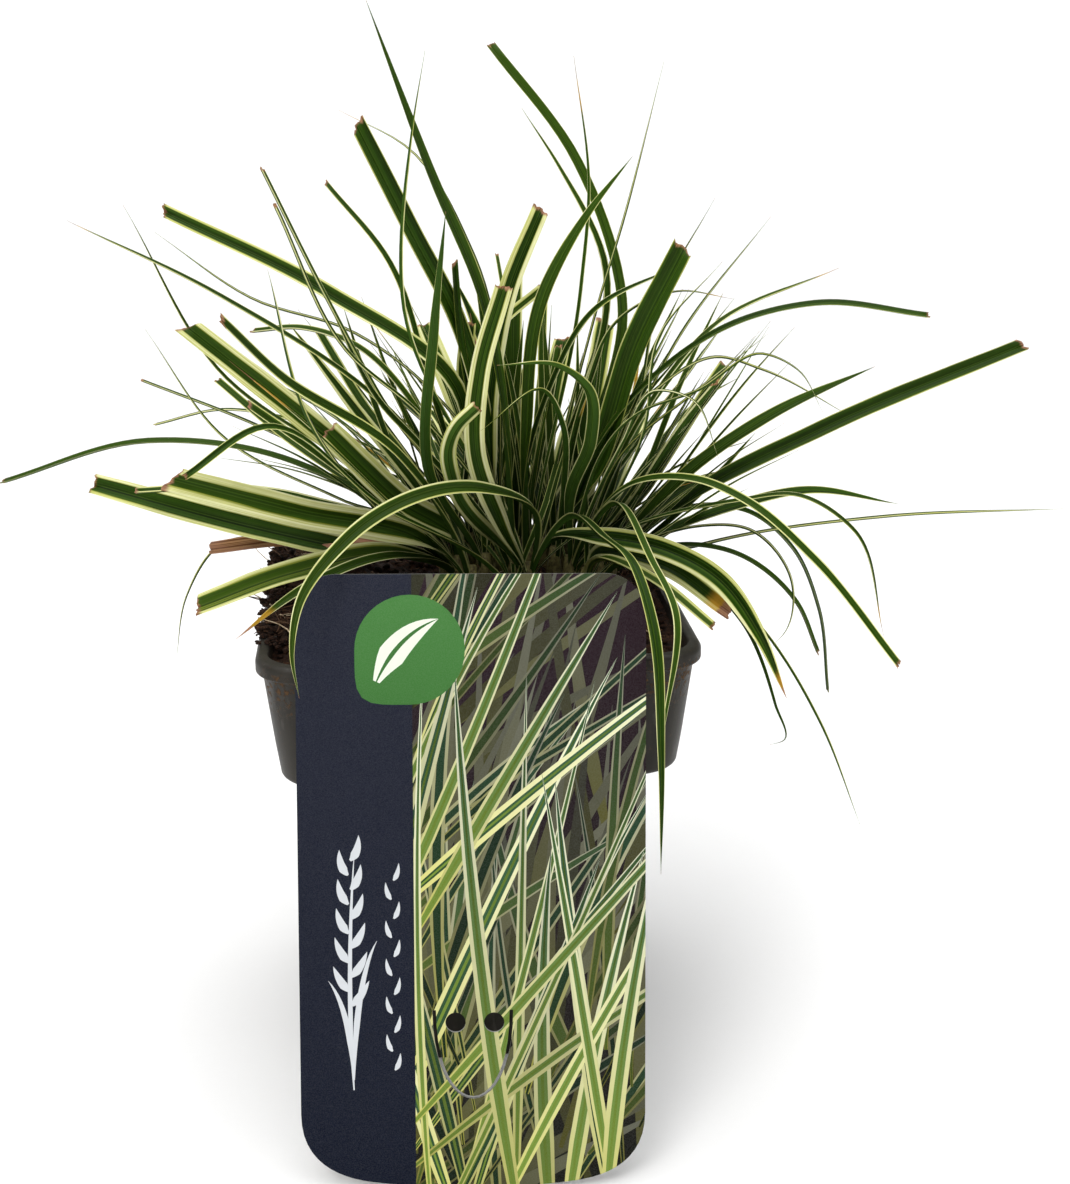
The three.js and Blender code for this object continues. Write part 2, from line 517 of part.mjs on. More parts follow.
// Pot, soil and label are kept clear too.
const labelFoot = (
  RIM_HALF + 2 * GAP + LABEL.width / 2 * Math.sin(radians(-LABEL.turn)) + RIM_HEIGHT * Math.tan(radians(LABEL.lean))
);
function touchesHolder([x, y, z], tiller) {
  const margin = 1.3;
  const inPot = Math.max(Math.abs(x), Math.abs(y));
  const awayFromStem = Math.hypot(x - tiller.x, y - tiller.y) > STEM_RADIUS;
  if (inPot < RIM_HALF - LIP_STEP - WALL && z < soilHeight(x, y) + margin && awayFromStem) return true;
  if (inPot > RIM_HALF - LIP_STEP - WALL - margin && inPot < RIM_HALF + margin && z < RIM_HEIGHT + margin) {
    return z > RIM_HEIGHT - LIP_HEIGHT - margin || inPot < wallHalfAt(z) + margin;
  }
  if (inPot < wallHalfAt(z) + margin && z < RIM_HEIGHT && awayFromStem && z < RIM_HEIGHT - 8) return true;
  const [across, deep] = turned([x - LABEL.x, y], -LABEL.turn);
  const lean = radians(LABEL.lean);
  const up = z * Math.cos(lean) + (deep + labelFoot) * Math.sin(lean);
  const off = (deep + labelFoot) * Math.cos(lean) - z * Math.sin(lean);
  return Math.abs(across) < LABEL.width / 2 + margin && up < LABEL.length + margin && Math.abs(off) < 1.6;
}

// Leaves of one tiller may cross near their foot, and further out only where nothing else fits.
function clearOfOthers(points, tiller, number, mayCross) {
  const seen = new Set();
  for (const point of points) {
    if (touchesHolder(point, tiller)) return false;
    const [i, j, k] = point.map(cellAlong);
    const key = cellIndex(i, j, k);
    if (seen.has(key)) continue;
    seen.add(key);
    const nearFoot = size(sub(point, [tiller.x, tiller.y, tiller.ground])) < FOOT_REACH;
    if (cells[key] === number && !mayCross && !nearFoot) return false;
    for (let dk = -1; dk <= 1; dk += 1) {
      for (let dj = -1; dj <= 1; dj += 1) {
        for (let di = -1; di <= 1; di += 1) {
          const owner = cells[cellIndex(i + di, j + dj, k + dk)];
          if (owner !== 0 && owner !== number) return false;
        }
      }
    }
  }
  return true;
}

function enterCells(points, number) {
  for (const point of points) {
    const [i, j, k] = point.map(cellAlong);
    cells[cellIndex(i, j, k)] = number;
  }
}

function stemPoints(tiller) {
  const points = [];
  for (let rise = 0; rise <= STEM_RISE; rise += SAMPLE) {
    for (let side = 0; side < STEM_SIDES; side += 1) {
      const [dx, dy] = turned([STEM_RADIUS, 0], 360 * side / STEM_SIDES);
      points.push([tiller.x + dx, tiller.y + dy, tiller.ground + rise]);
    }
  }
  return points;
}

const segmentsFor = (leaf, length) => {
  if (leaf.points.length > 3) return 9;
  return length > 60 ? 6 : 4;
};
const leafLength = (leaf, tiller) => {
  const points = [[tiller.x, tiller.y, tiller.ground], ...leaf.points];
  return points.slice(1).reduce((sum, point, i) => sum + size(sub(point, points[i])), 0);
};

function placeLeaf(leaf, tiller, number, mayCross) {
  const sections = leafSections(leaf, tiller, segmentsFor(leaf, leafLength(leaf, tiller)));
  const points = leafPoints(sections);
  if (!clearOfOthers(points, tiller, number, mayCross)) return false;
  enterCells(points, number);
  tiller.leaves.push(sections);
  return true;
}

// A listed leaf stands on the tiller that lies nearest to the way it goes: low leaves on the outer tillers.
function placeListed([width, face, end, listed], tillers) {
  const [firstX, firstY, firstRise] = listed[0];
  const away = [firstX - CROWN[0], firstY - CROWN[1]];
  const flat = Math.hypot(...away);
  const lowness = flat / Math.hypot(flat, firstRise);
  const wanted = turned([
    CROWN[0] + away[0] / flat * CROWN_REACH[0] * 0.85 * lowness,
    CROWN[1] + away[1] / flat * CROWN_REACH[1] * 0.85 * lowness,
  ], CLUMP_TURN);
  const order = tillers
    .map((tiller, index) => ({ tiller, number: index + 1, off: Math.hypot(tiller.x - wanted[0], tiller.y - wanted[1]) }))
    .filter(({ tiller }) => tiller.leaves.length < LEAVES_PER_TILLER)
    .sort((a, b) => a.off - b.off)
    .slice(0, NEAREST);
  for (const mayCross of [false, true]) {
    for (const shift of SHIFTS) {
      const points = listed.map((point, i) => {
        const [x, y] = turned(point, CLUMP_TURN);
        const rise = i === 0 ? shift[3] : 0;
        return add([x, y, RIM_HEIGHT + point[2] + rise], scale(shift, (i + 1) / listed.length));
      });
      for (const { tiller, number } of order) {
        if (placeLeaf({ width, face, end, points }, tiller, number, mayCross)) return;
      }
    }
  }
}

// The fill: steep leaves in the middle of the clump, and lower, arching ones round it. A leaf that finds no room is
// drawn again, and gets narrower with the share of the tries used up.
function fillLeaf(tiller, random, tried) {
  const middle = turned(CROWN, CLUMP_TURN);
  const away = turned([tiller.x - middle[0], tiller.y - middle[1]], -CLUMP_TURN);
  const outness = clamp01(Math.hypot(away[0] / CROWN_REACH[0], away[1] / CROWN_REACH[1]));
  const spread = mix(150, 38, outness) * (2 * random() - 1);
  const drawn = Math.atan2(away[1], away[0]) + radians(spread);
  const azimuth = Math.sin(drawn) < -0.3 ? -drawn : drawn;
  const rise = radians(clamp01((mix(80, 44, outness) + 14 * (2 * random() - 1)) / 84) * 84);
  const thread = random() < 0.12;
  const length = mix(42, 80, random()) * (thread ? 1.12 : 1);
  const droop = mix(0.1, 0.55, random()) * Math.cos(rise);
  const bow = 0.16 * (2 * random() - 1);
  const width = thread ? mix(1, 1.6, random()) : mix(6, 2, tried);
  const face = mix(-30, 60, random());
  const end = random() < 0.6 ? 'cut' : 'point';
  const root = [tiller.x, tiller.y, tiller.ground];
  const heading = azimuth + radians(CLUMP_TURN);
  const points = [0.4, 0.75, 1].map((part) => {
    const flat = length * part * Math.cos(rise);
    const sideways = length * bow * part * part;
    return add(root, [
      flat * Math.cos(heading) - sideways * Math.sin(heading),
      flat * Math.sin(heading) + sideways * Math.cos(heading),
      length * (part * Math.sin(rise) - droop * part * part),
    ]);
  });
  return { width, face, end, points };
}

function growClump() {
  const tillers = tillerPlaces();
  tillers.forEach((tiller, index) => enterCells(stemPoints(tiller), index + 1));
  for (const row of LISTED) placeListed(row, tillers);
  for (let round = 0; round < LEAVES_PER_TILLER; round += 1) {
    tillers.forEach((tiller, index) => {
      if (tiller.leaves.length > round) return;
      const random = seeded(1000 * (index + 1) + round);
      for (let attempt = 0; attempt < FILL_TRIES; attempt += 1) {
        if (placeLeaf(fillLeaf(tiller, random, attempt / FILL_TRIES), tiller, index + 1, false)) return;
      }
    });
  }
  return tillers.filter(({ leaves }) => leaves.length > 0);
}

// A leaf as a closed solid: a folded blade, thick at the midrib and sharp at the edges.
function leafSolid(sections) {
  const pointed = sections[sections.length - 1].half < 0.05;
  const rings = pointed ? sections.slice(0, -1) : sections;
  const points = rings.flatMap((ring) => [
    edgeOf(ring, -1),
    add(ring.middle, scale(ring.upper, ring.thick)),
    edgeOf(ring, 1),
    sub(ring.middle, scale(ring.upper, ring.thick)),
  ]);
  const triangles = [[0, 1, 3], [3, 1, 2]];
  for (let ring = 0; ring + 1 < rings.length; ring += 1) {
    const [left, top, right, keel] = [0, 1, 2, 3].map((corner) => 4 * ring + corner);
    triangles.push([left, left + 4, top + 4], [left, top + 4, top]);
    triangles.push([left, keel + 4, left + 4], [left, keel, keel + 4]);
    triangles.push([right, top + 4, right + 4], [right, top, top + 4]);
    triangles.push([right, right + 4, keel + 4], [right, keel + 4, keel]);
  }
  const last = 4 * (rings.length - 1);
  if (pointed) {
    const tip = points.push(sections[sections.length - 1].middle) - 1;
    triangles.push([last, tip, last + 1], [last + 1, tip, last + 2], [last + 2, tip, last + 3], [last + 3, tip, last]);
  } else {
    triangles.push([last, last + 3, last + 1], [last + 3, last + 2, last + 1]);
  }
  return solidFrom(points, triangles);
}

function tillerSolid(tiller) {
  const height = STEM_DEPTH + STEM_RISE;
  const foot = new THREE.CylinderGeometry(STEM_RADIUS * 0.8, STEM_RADIUS, height, STEM_SIDES);
  foot.rotateX(Math.PI / 2).translate(tiller.x, tiller.y, tiller.ground - STEM_DEPTH + height / 2);
  return tiller.leaves.reduce((solid, sections) => solid.add(leafSolid(sections)), solidFromGeometry(foot));
}

// The object.
const plastic = new THREE.MeshStandardMaterial({ color: 0x6b665f, roughness: 0.45, metalness: 0 });
const peat = new THREE.MeshStandardMaterial({ color: 0x2a211b, roughness: 0.95, metalness: 0 });
const card = new THREE.MeshStandardMaterial({ color: 0x2f3d4a, roughness: 0.35, metalness: 0 });
const foliage = new THREE.MeshStandardMaterial({ color: 0x6f8a3c, roughness: 0.6, metalness: 0 });

const object = new THREE.Group();
function place(name, geometry, material, parent = object) {
  const mesh = new THREE.Mesh(geometry, material);
  mesh.name = name;
  parent.add(mesh);
  return mesh;
}

const tillers = growClump();
place('pot', geometryFromSolid(potSolid()), plastic);
place('soil', geometryFromSolid(soilSolid(tillers)), peat);

const labelStand = new THREE.Group();
labelStand.rotation.z = radians(LABEL.turn);
labelStand.position.x = LABEL.x;
const labelCard = place('plant_label', labelGeometry(), card, labelStand);
labelCard.rotation.x = radians(90 - LABEL.lean);
labelCard.position.set(0, -labelFoot, 0);
object.add(labelStand);

tillers.forEach((tiller, index) => {
  place(`tiller_${String(index + 1).padStart(2, '0')}`, geometryFromSolid(tillerSolid(tiller)), foliage);
});

export default object;
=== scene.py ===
"""A variegated carex sedge in a square nursery pot, with its plant label leaning on the rim."""
import math

import bpy
import numpy as np
from bpy.props import FloatProperty, FloatVectorProperty, IntProperty, PointerProperty
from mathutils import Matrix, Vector, geometry, noise


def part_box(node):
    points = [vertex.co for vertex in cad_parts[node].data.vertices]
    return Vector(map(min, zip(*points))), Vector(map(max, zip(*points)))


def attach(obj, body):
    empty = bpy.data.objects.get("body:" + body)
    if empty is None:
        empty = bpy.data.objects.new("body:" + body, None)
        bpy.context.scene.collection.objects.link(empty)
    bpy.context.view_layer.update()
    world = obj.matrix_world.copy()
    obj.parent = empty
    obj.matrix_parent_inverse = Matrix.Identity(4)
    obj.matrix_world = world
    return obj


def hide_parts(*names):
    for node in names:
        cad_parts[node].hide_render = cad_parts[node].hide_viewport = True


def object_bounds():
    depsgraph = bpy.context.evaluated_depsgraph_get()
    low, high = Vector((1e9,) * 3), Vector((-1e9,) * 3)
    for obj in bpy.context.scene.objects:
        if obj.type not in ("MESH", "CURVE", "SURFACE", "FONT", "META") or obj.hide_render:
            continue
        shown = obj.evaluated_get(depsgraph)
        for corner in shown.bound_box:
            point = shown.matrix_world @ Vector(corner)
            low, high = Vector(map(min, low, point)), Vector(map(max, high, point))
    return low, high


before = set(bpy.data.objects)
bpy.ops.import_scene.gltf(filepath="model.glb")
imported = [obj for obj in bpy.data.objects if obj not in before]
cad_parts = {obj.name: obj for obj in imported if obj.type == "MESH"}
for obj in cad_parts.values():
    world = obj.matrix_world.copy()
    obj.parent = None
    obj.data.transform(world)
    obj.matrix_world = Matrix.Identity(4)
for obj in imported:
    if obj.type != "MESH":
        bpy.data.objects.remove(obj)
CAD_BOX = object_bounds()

bl_info = {
    "name": "Potted carex sedge",
    "version": (1, 0, 0),
    "blender": (4, 5, 0),
    "location": "View3D > Sidebar > Sedge",
    "description": "Builds a variegated sedge with its pot, peat and plant label",
    "category": "Object",
}

# Lengths are in millimetres, but the settings and the lamps' places are in metres, as Blender takes them.
# The origin is the middle of the pot's base. The label stands on the -Y side.
MM = 0.001
BODY = "root"

# Pot.
RIM_HEIGHT = 100
RIM_HALF = 45
LIP_HEIGHT = 3.2
LIP_STEP = 1.2
WALL = 1.4
COLLAR_BOTTOM = 72
COLLAR_HALF = 41.2
SHOULDER_HALF = 35.5
BASE_HALF = 31
RIM_CORNER = 9
BASE_CORNER = 7
GAP = 0.3
# Radius and place of each drain hole in one quarter of the base.
DRAINS = [(4.0, 17, 17), (2.5, 21, 0)]

# Peat: its level from the rim, and its humps as rise, middle and reach.
SOIL_LEVEL = -4
SOIL_HUMPS = [(5.5, 12, 3, 22), (7, -34, 12, 13), (2, 10, 34, 20)]
# Crumbs spilled on the left lip: where they lie, and the middle, reach and rise of their heap.
SPILL_X = (-45.2, -39)
SPILL_Y = (-31, 40)
HEAP_MIDDLE = (-43.5, 6)
HEAP_REACH = 18
HEAP_RISE = 2.6
# Fibres heaped there: the middle and reach of where they start.
FIBRE_MIDDLE = (-39, 6)
FIBRE_REACH = (6, 34)
FIBRE_STEPS = 8

# Clump.
CLUMP_TURN = -5.7
CROWN = (13, 4)
CROWN_REACH = (22, 17)
TILLER_PITCH = 6.2
STEM_RADIUS = 1.7
STEM_RISE = 5
STEM_SIDES = 6
ROOT_RISE = 2
ROOT_OFFSET = 0.7
LEAVES_PER_TILLER = 9
FOOT_REACH = 13
# Space is divided in cells of this size, and blades are sampled this far apart.
CELL = 1.25
SAMPLE = 0.65
NEAREST = 16
FILL_TRIES = 60
FINE_STEPS = 72

# Every leaf: its width at the foot, the fold of its flanks there and further on in degrees, and the
# shares of its length over which it widens, and turns and opens.
FOOT_WIDTH = 2.2
FOOT_FOLD = 58
FOLD = 24
WIDENING = 0.35
TURNING = 0.4

# Leaves that a rule adds. Pairs of turns go from the middle of the clump to its edge, in degrees.
SPREAD = (150, 38)
RISE = (80, 44)
RISE_PLAY = 14
STEEPEST = 84
LENGTH = (42, 80)
DROOP = (0.1, 0.55)
BOW = 0.16
WIDTH = (6, 2)
FACE = (-30, 60)
CUT_SHARE = 0.6
THREAD_SHARE = 0.12
THREAD_WIDTH = (1, 1.6)
THREAD_LONGER = 1.12

# Label.
LABEL_WIDTH = 68
LABEL_LENGTH = 122
LABEL_THICK = 0.6
LABEL_LEAN = 14.5
LABEL_TURN = -5
LABEL_X = 1.5
LABEL_FOOT = (
    RIM_HALF + 2 * GAP + LABEL_WIDTH / 2 * math.sin(math.radians(-LABEL_TURN))
    + RIM_HEIGHT * math.tan(math.radians(LABEL_LEAN))
)

# Leaves: flat width, how far the upper side turns to the front, kind of end, state, and the points that
# the leaf passes on its way to the tip: right, back and above the rim, in the clump's frame.
LISTED = [
    (3.2, 40, "point", "fresh", [(14, -10, 21), (4, -18, 28), (-10, -32, 30), (-22, -45, 25),
     (-30, -54, 15), (-31, -58, 7), (-30, -58, -2)]),
    (4.8, 75, "cut", "wide", [(7, -13, 19), (2, -13, 35), (3, -10, 51), (8, -6, 68)]),
    (3.8, 80, "cut", "wide", [(-2, -17, 28), (-3, -20, 37), (-1, -22, 42), (3, -22, 46)]),
    (5, 55, "point", "tipped", [(18, -6, 11), (29, -10, 15), (42, -15, 14), (53, -20, 9),
     (61, -25, -1), (67, -29, -14)]),
    (3, 40, "point", "fresh", [(22, -14, 21), (28, -28, 21), (33, -43, 20), (36, -54, 11),
     (37, -63, -8), (37, -71, -29)]),
    (4, 45, "cut", "striped", [(28, -16, 12), (39, -28, 11), (50, -36, 4)]),
    (5.2, 45, "cut", "tipped", [(28, -10, 10), (42, -18, 10), (57, -26, 1)]),
    (5, 60, "cut", "wide", [(5, 6, 44), (9, 8, 65), (16, 10, 82)]),
    (3.2, 40, "cut", "wide", [(4, 6, 40), (6, 4, 54), (18, 2, 65)]),
    (2.4, 40, "point", "fresh", [(31, -10, 15), (38, -36, 17), (42, -50, 10), (40, -58, -8),
     (39, -61, -16)]),
    (7, 70, "cut", "wide", [(-10, -8, 14), (-35, -16, 23), (-59, -24, 32)]),
    (7, 60, "cut", "wide", [(-3, 0, 11), (-15, -2, 21), (-30, -4, 37)]),
    (6.5, 50, "cut", "fresh", [(-31, 4, 9), (-54, 6, 14), (-84, 8, 22)]),
    (6.5, 35, "cut", "striped", [(-15, -4, 9), (-38, -10, 7), (-57, -18, 2)]),
    (6, 70, "cut", "fresh", [(-15, 0, 20), (-35, -4, 39), (-58, -8, 59)]),
    (4.4, 50, "cut", "fresh", [(-3, 4, 45), (-30, 8, 64), (-65, 10, 81)]),
    (6.4, 60, "cut", "green", [(30, 0, 34), (36, -4, 56), (45, -8, 76)]),
    (3.6, 60, "point", "green", [(13, 2, 34), (17, -4, 67), (25, -6, 82), (34, -8, 94)]),
    (3, 60, "point", "green", [(3, 2, 65), (-7, -4, 91), (-18, -10, 123)]),
    (5, 60, "cut", "green", [(-3, 6, 57), (-12, 4, 79), (-22, 2, 100)]),
    (2.8, 40, "cut", "green", [(33, 12, 64), (23, 18, 92), (5, 22, 115)]),
    (3, 40, "point", "fresh", [(22, -6, 20), (26, -12, 37), (25, -17, 49), (19, -20, 54),
     (7, -24, 55)]),
    (4.4, 60, "cut", "fresh", [(2, 12, 29), (-1, 12, 45), (0, 12, 57)]),
    (2.8, 50, "cut", "green", [(0, 4, 38), (-2, 4, 57), (-3, 4, 72)]),
    (2.6, 50, "point", "green", [(-8, -10, 30), (-6, -14, 60), (-3, -16, 84)]),
    (2.6, 30, "point", "fresh", [(13, 6, 26), (18, 4, 44), (27, 2, 61), (46, -2, 72)]),
    (1.8, 20, "point", "fresh", [(21, 0, 23), (21, -4, 40), (17, -8, 49), (5, -12, 42)]),
    (4, 50, "cut", "green", [(49, 4, 20), (77, 6, 35), (121, 10, 53)]),
    (3.4, 40, "point", "green", [(45, 0, 24), (65, -2, 40), (86, -4, 51)]),
    (2.4, 20, "cut", "green", [(37, -4, 46), (57, -8, 61), (72, -11, 65), (94, -14, 63)]),
    (2, 20, "point", "tipped", [(38, 8, 37), (54, 12, 57), (81, 16, 69)]),
    (3, 30, "point", "fresh", [(42, -2, 13), (60, -1, 20), (73, -1, 23), (94, 0, 20)]),
    (2, 30, "cut", "fresh", [(37, -12, 23), (49, -20, 30), (58, -26, 27), (71, -34, 17),
     (88, -42, -3)]),
    (2, 30, "cut", "green", [(49, 10, 16), (62, 12, 15), (74, 15, 5), (81, 17, -10), (85, 20, -32)]),
    (1.6, 20, "point", "fresh", [(59, -8, 21), (70, -12, 25), (81, -17, 19), (88, -22, -3)]),
    (2, 20, "cut", "green", [(42, 0, 10), (58, -3, 10), (71, -5, 0), (76, -6, -11)]),
    (5, 40, "cut", "fresh", [(-16, 8, 9), (-36, 10, 12), (-53, 11, 12)]),
    (5.4, 30, "point", "fresh", [(-16, 10, 6), (-35, 14, 9), (-59, 17, 5)]),
    (5, 20, "cut", "dry", [(-15, -2, 8), (-38, 2, 9), (-59, 5, 5)]),
    (3.6, 10, "cut", "fresh", [(-37, 0, 21), (-52, 1, 23), (-73, 2, 22)]),
    (2.6, 20, "cut", "green", [(-38, 10, 26), (-73, 16, 30), (-109, 22, 19)]),
    (3.4, 40, "point", "fresh", [(-10, 0, 20), (-24, 2, 37), (-39, 4, 56)]),
    (3, 30, "cut", "fresh", [(-17, -2, 19), (-31, -4, 31), (-46, -6, 43)]),
    (3, 40, "cut", "fresh", [(-14, -14, 35), (-36, -24, 54), (-45, -30, 66)]),
    (2.6, 20, "cut", "fresh", [(-9, 8, 35), (-26, 12, 53), (-37, 14, 56), (-48, 16, 55)]),
    (2.6, 30, "cut", "fresh", [(-14, 4, 25), (-23, 6, 37), (-33, 8, 52)]),
    (2.4, 30, "point", "fresh", [(-11, 0, 25), (-19, 2, 43), (-29, 4, 64)]),
    (2.2, 20, "point", "fresh", [(-19, -10, 19), (-31, -18, 41), (-37, -26, 74)]),
    (2.6, 20, "cut", "fresh", [(-28, 8, 22), (-43, 12, 30), (-58, 14, 41)]),
    (2, 20, "point", "tipped", [(-15, 10, 36), (-54, 18, 63), (-88, 26, 79)]),
    (1.8, 20, "cut", "fresh", [(-20, 10, 40), (-32, 12, 67), (-43, 14, 91)]),
    (1.6, 20, "cut", "fresh", [(-10, -6, 36), (-24, -12, 55), (-37, -16, 85)]),
    (2, 30, "cut", "fresh", [(-9, 10, 45), (-17, 14, 69), (-31, 16, 86)]),
    (1.6, 20, "point", "fresh", [(-10, 6, 24), (-16, 8, 42), (-23, 10, 63)]),
    (1.4, 20, "point", "fresh", [(-32, 12, 24), (-54, 14, 44), (-75, 16, 82)]),
    (1.8, 30, "cut", "fresh", [(-18, -16, 25), (-39, -30, 45), (-52, -38, 38)]),
    (1.4, 0, "point", "fresh", [(-20, 4, 54), (-36, 6, 58), (-52, 8, 59), (-71, 10, 56),
     (-89, 12, 51)]),
    (1.4, 0, "cut", "fresh", [(-16, 16, 24), (-39, 22, 31), (-59, 28, 32), (-78, 34, 26)]),
    (1.4, 0, "cut", "fresh", [(-29, 20, 22), (-49, 24, 31), (-77, 28, 41)]),
    (1.4, 0, "point", "fresh", [(-28, 30, 50), (-50, 32, 60), (-72, 34, 75)]),
    (2.4, 30, "point", "fresh", [(-14, -10, 11), (-34, -24, 8), (-46, -34, 1)]),
    (1.1, 0, "point", "fresh", [(-30, 14, 17), (-57, 20, 30), (-74, 24, 54)]),
    (1.1, 0, "point", "fresh", [(-32, 12, 6), (-58, 15, 6), (-67, 17, -7), (-71, 18, -24)]),
    (1.4, 0, "point", "fresh", [(52, 2, 10), (91, 0, 17), (129, -4, 20)]),
    (2, 0, "point", "green", [(44, 6, 5), (60, -2, -6), (68, -8, -24), (70, -10, -32), (67, -10, -33)]),
    (1.2, 0, "point", "fresh", [(50, 10, 4), (66, 2, -10), (79, -4, -30), (89, -8, -54)]),
    (1.4, 0, "point", "fresh", [(50, -4, 16), (61, -7, 16), (70, -10, 5), (69, -12, -5),
     (66, -12, -9)]),
    (1.5, 0, "point", "tipped", [(25, 2, 43), (32, 0, 60), (44, -6, 67), (55, -10, 66)]),
    (1.4, 0, "point", "fresh", [(-13, -6, 66), (-10, -10, 99), (-7, -12, 114)]),
    (1.4, 0, "point", "tipped", [(1, 10, 71), (-12, 14, 94), (-27, 16, 102)]),
    (1.8, 20, "point", "fresh", [(29, 16, 73), (20, 22, 90), (12, 26, 102)]),
    (1.1, 0, "point", "fresh", [(25, 4, 66), (27, 4, 87), (24, 4, 113)]),
    (1.1, 0, "point", "fresh", [(27, 14, 56), (33, 20, 81), (40, 24, 112)]),
    (1.1, 0, "point", "fresh", [(38, 10, 41), (42, 14, 60), (55, 20, 83)]),
    (1.1, 0, "point", "fresh", [(36, 14, 33), (47, 18, 54), (67, 26, 79)]),
    (1.1, 0, "point", "fresh", [(38, -8, 40), (40, -10, 58), (52, -14, 74)]),
    (1.3, 0, "point", "fresh", [(39, 4, 43), (54, 7, 51), (64, 9, 48), (86, 14, 36)]),
    (1.3, 0, "point", "fresh", [(36, -14, 38), (48, -20, 49), (60, -25, 57), (67, -28, 54),
     (72, -30, 46)]),
    (1.2, 0, "point", "fresh", [(33, 6, 30), (48, 8, 44), (63, 10, 57)]),
    (1.3, 0, "point", "fresh", [(33, -8, 36), (39, -12, 48), (46, -15, 47), (51, -18, 36)]),
    (2.4, 20, "point", "fresh", [(40, 6, 10), (52, 8, 21), (63, 10, 34)]),
]
# How a leaf may be moved, in order, until it is clear of the other tillers.
SHIFTS = [
    (0, 0, 0, 0), (0, 0, 0, 2), (0, 2, 0, 0), (0, -2, 0, 0), (0, 0, 0, 4), (0, 4, 0, 0), (0, -4, 0, 0),
    (0, 0, 1, -2), (0, 2, 0, 3), (0, -2, 0, 3), (0, 6, 0, 0), (0, -6, 0, 0), (0, 4, 0, 5), (0, -4, 0, 5),
    (2, 0, 1, 2), (-2, 0, 1, 2), (0, 9, 0, 0), (0, -9, 0, 0), (0, 6, 0, 7), (2, 4, -2, 0), (-2, -4, -2, 0),
    (0, 13, 0, 0), (0, -13, 0, 3), (0, 18, 0, 0), (0, -9, 0, 9), (3, -6, 3, 4), (-3, 6, 3, 4), (0, 24, 0, 2),
]


# ---------------------------------------------------------------- small tools

def mix(a, b, t):
    return a + (b - a) * t


def clamp01(t):
    return min(1.0, max(0.0, t))


def turned(x, y, degrees):
    c, s = math.cos(math.radians(degrees)), math.sin(math.radians(degrees))
    return x * c - y * s, x * s + y * c


def unit(v):
    return v / math.sqrt(float(v @ v))


def to_viewer(degrees):
    """The same turn from -180 to 180, less half a turn where the leaf shows its underside sooner."""
    turn = (degrees + 180) % 360 - 180
    return turn if abs(turn) <= 135 else turn - math.copysign(180, turn)


def cross(a, b):
    return np.array((a[1] * b[2] - a[2] * b[1], a[2] * b[0] - a[0] * b[2], a[0] * b[1] - a[1] * b[0]))


def seeded(seed):
    """A repeatable generator of numbers from 0 to 1."""
    word = 0xFFFFFFFF
    state = seed & word

    def draw():
        nonlocal state
        state = (state + 0x6D2B79F5) & word
        t = ((state ^ (state >> 15)) * (1 | state)) & word
        t = ((t + (((t ^ (t >> 7)) * (61 | t)) & word)) & word) ^ t
        return (t ^ (t >> 14)) / 4294967296
    return draw


def paint(red, green, blue):
    """A colour given in screen values from 0 to 255, as the linear values that shaders take."""
    def linear(value):
        value /= 255
        return value / 12.92 if value <= 0.04045 else ((value + 0.055) / 1.055) ** 2.4
    return linear(red), linear(green), linear(blue)


def ring_faces(rings, sides, start=0):
    """Quads between rings of points that follow each other."""
    faces = []
    for ring in range(rings - 1):
        for i in range(sides):
            low = start + ring * sides + i
            after = start + ring * sides + (i + 1) % sides
            faces.append((low, after, after + sides, low + sides))
    return faces


def make_piece(name, points, faces, materials, node=None, kinds=None, layers=None, sharp=50):
    """A smooth piece from points in millimetres.

    kinds gives each face's material, layers each point's values.
    """
    mesh = bpy.data.meshes.new(name)
    mesh.from_pydata((np.asarray(points, float) * MM).tolist(), [], faces)
    for material in materials:
        mesh.materials.append(material)
    if kinds is not None:
        mesh.polygons.foreach_set("material_index", np.asarray(kinds, np.int32))
    if layers:
        corner_points = np.zeros(len(mesh.loops), np.int32)
        mesh.loops.foreach_get("vertex_index", corner_points)
        for layer, values in layers.items():
            uv = mesh.uv_layers.new(name=layer)
            uv.data.foreach_set("uv", np.asarray(values, np.float32)[corner_points].ravel())
    mesh.shade_smooth()
    mesh.set_sharp_from_angle(angle=math.radians(sharp))
    mesh.validate()
    mesh.update()
    piece = bpy.data.objects.new(name, mesh)
    bpy.context.scene.collection.objects.link(piece)
    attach(piece, BODY)
    if node:
        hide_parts(node)
    return piece


# ---------------------------------------------------------------- materials

class Term:
    """A number inside a material, which can be added, subtracted and multiplied."""

    def __init__(self, shader, socket):
        self.shader, self.socket = shader, socket

    def __add__(self, other):
        return self.shader.math("ADD", self, other)

    def __sub__(self, other):
        return self.shader.math("SUBTRACT", self, other)

    def __rsub__(self, other):
        return self.shader.math("SUBTRACT", other, self)

    def __mul__(self, other):
        return self.shader.math("MULTIPLY", self, other)

    __radd__, __rmul__ = __add__, __mul__


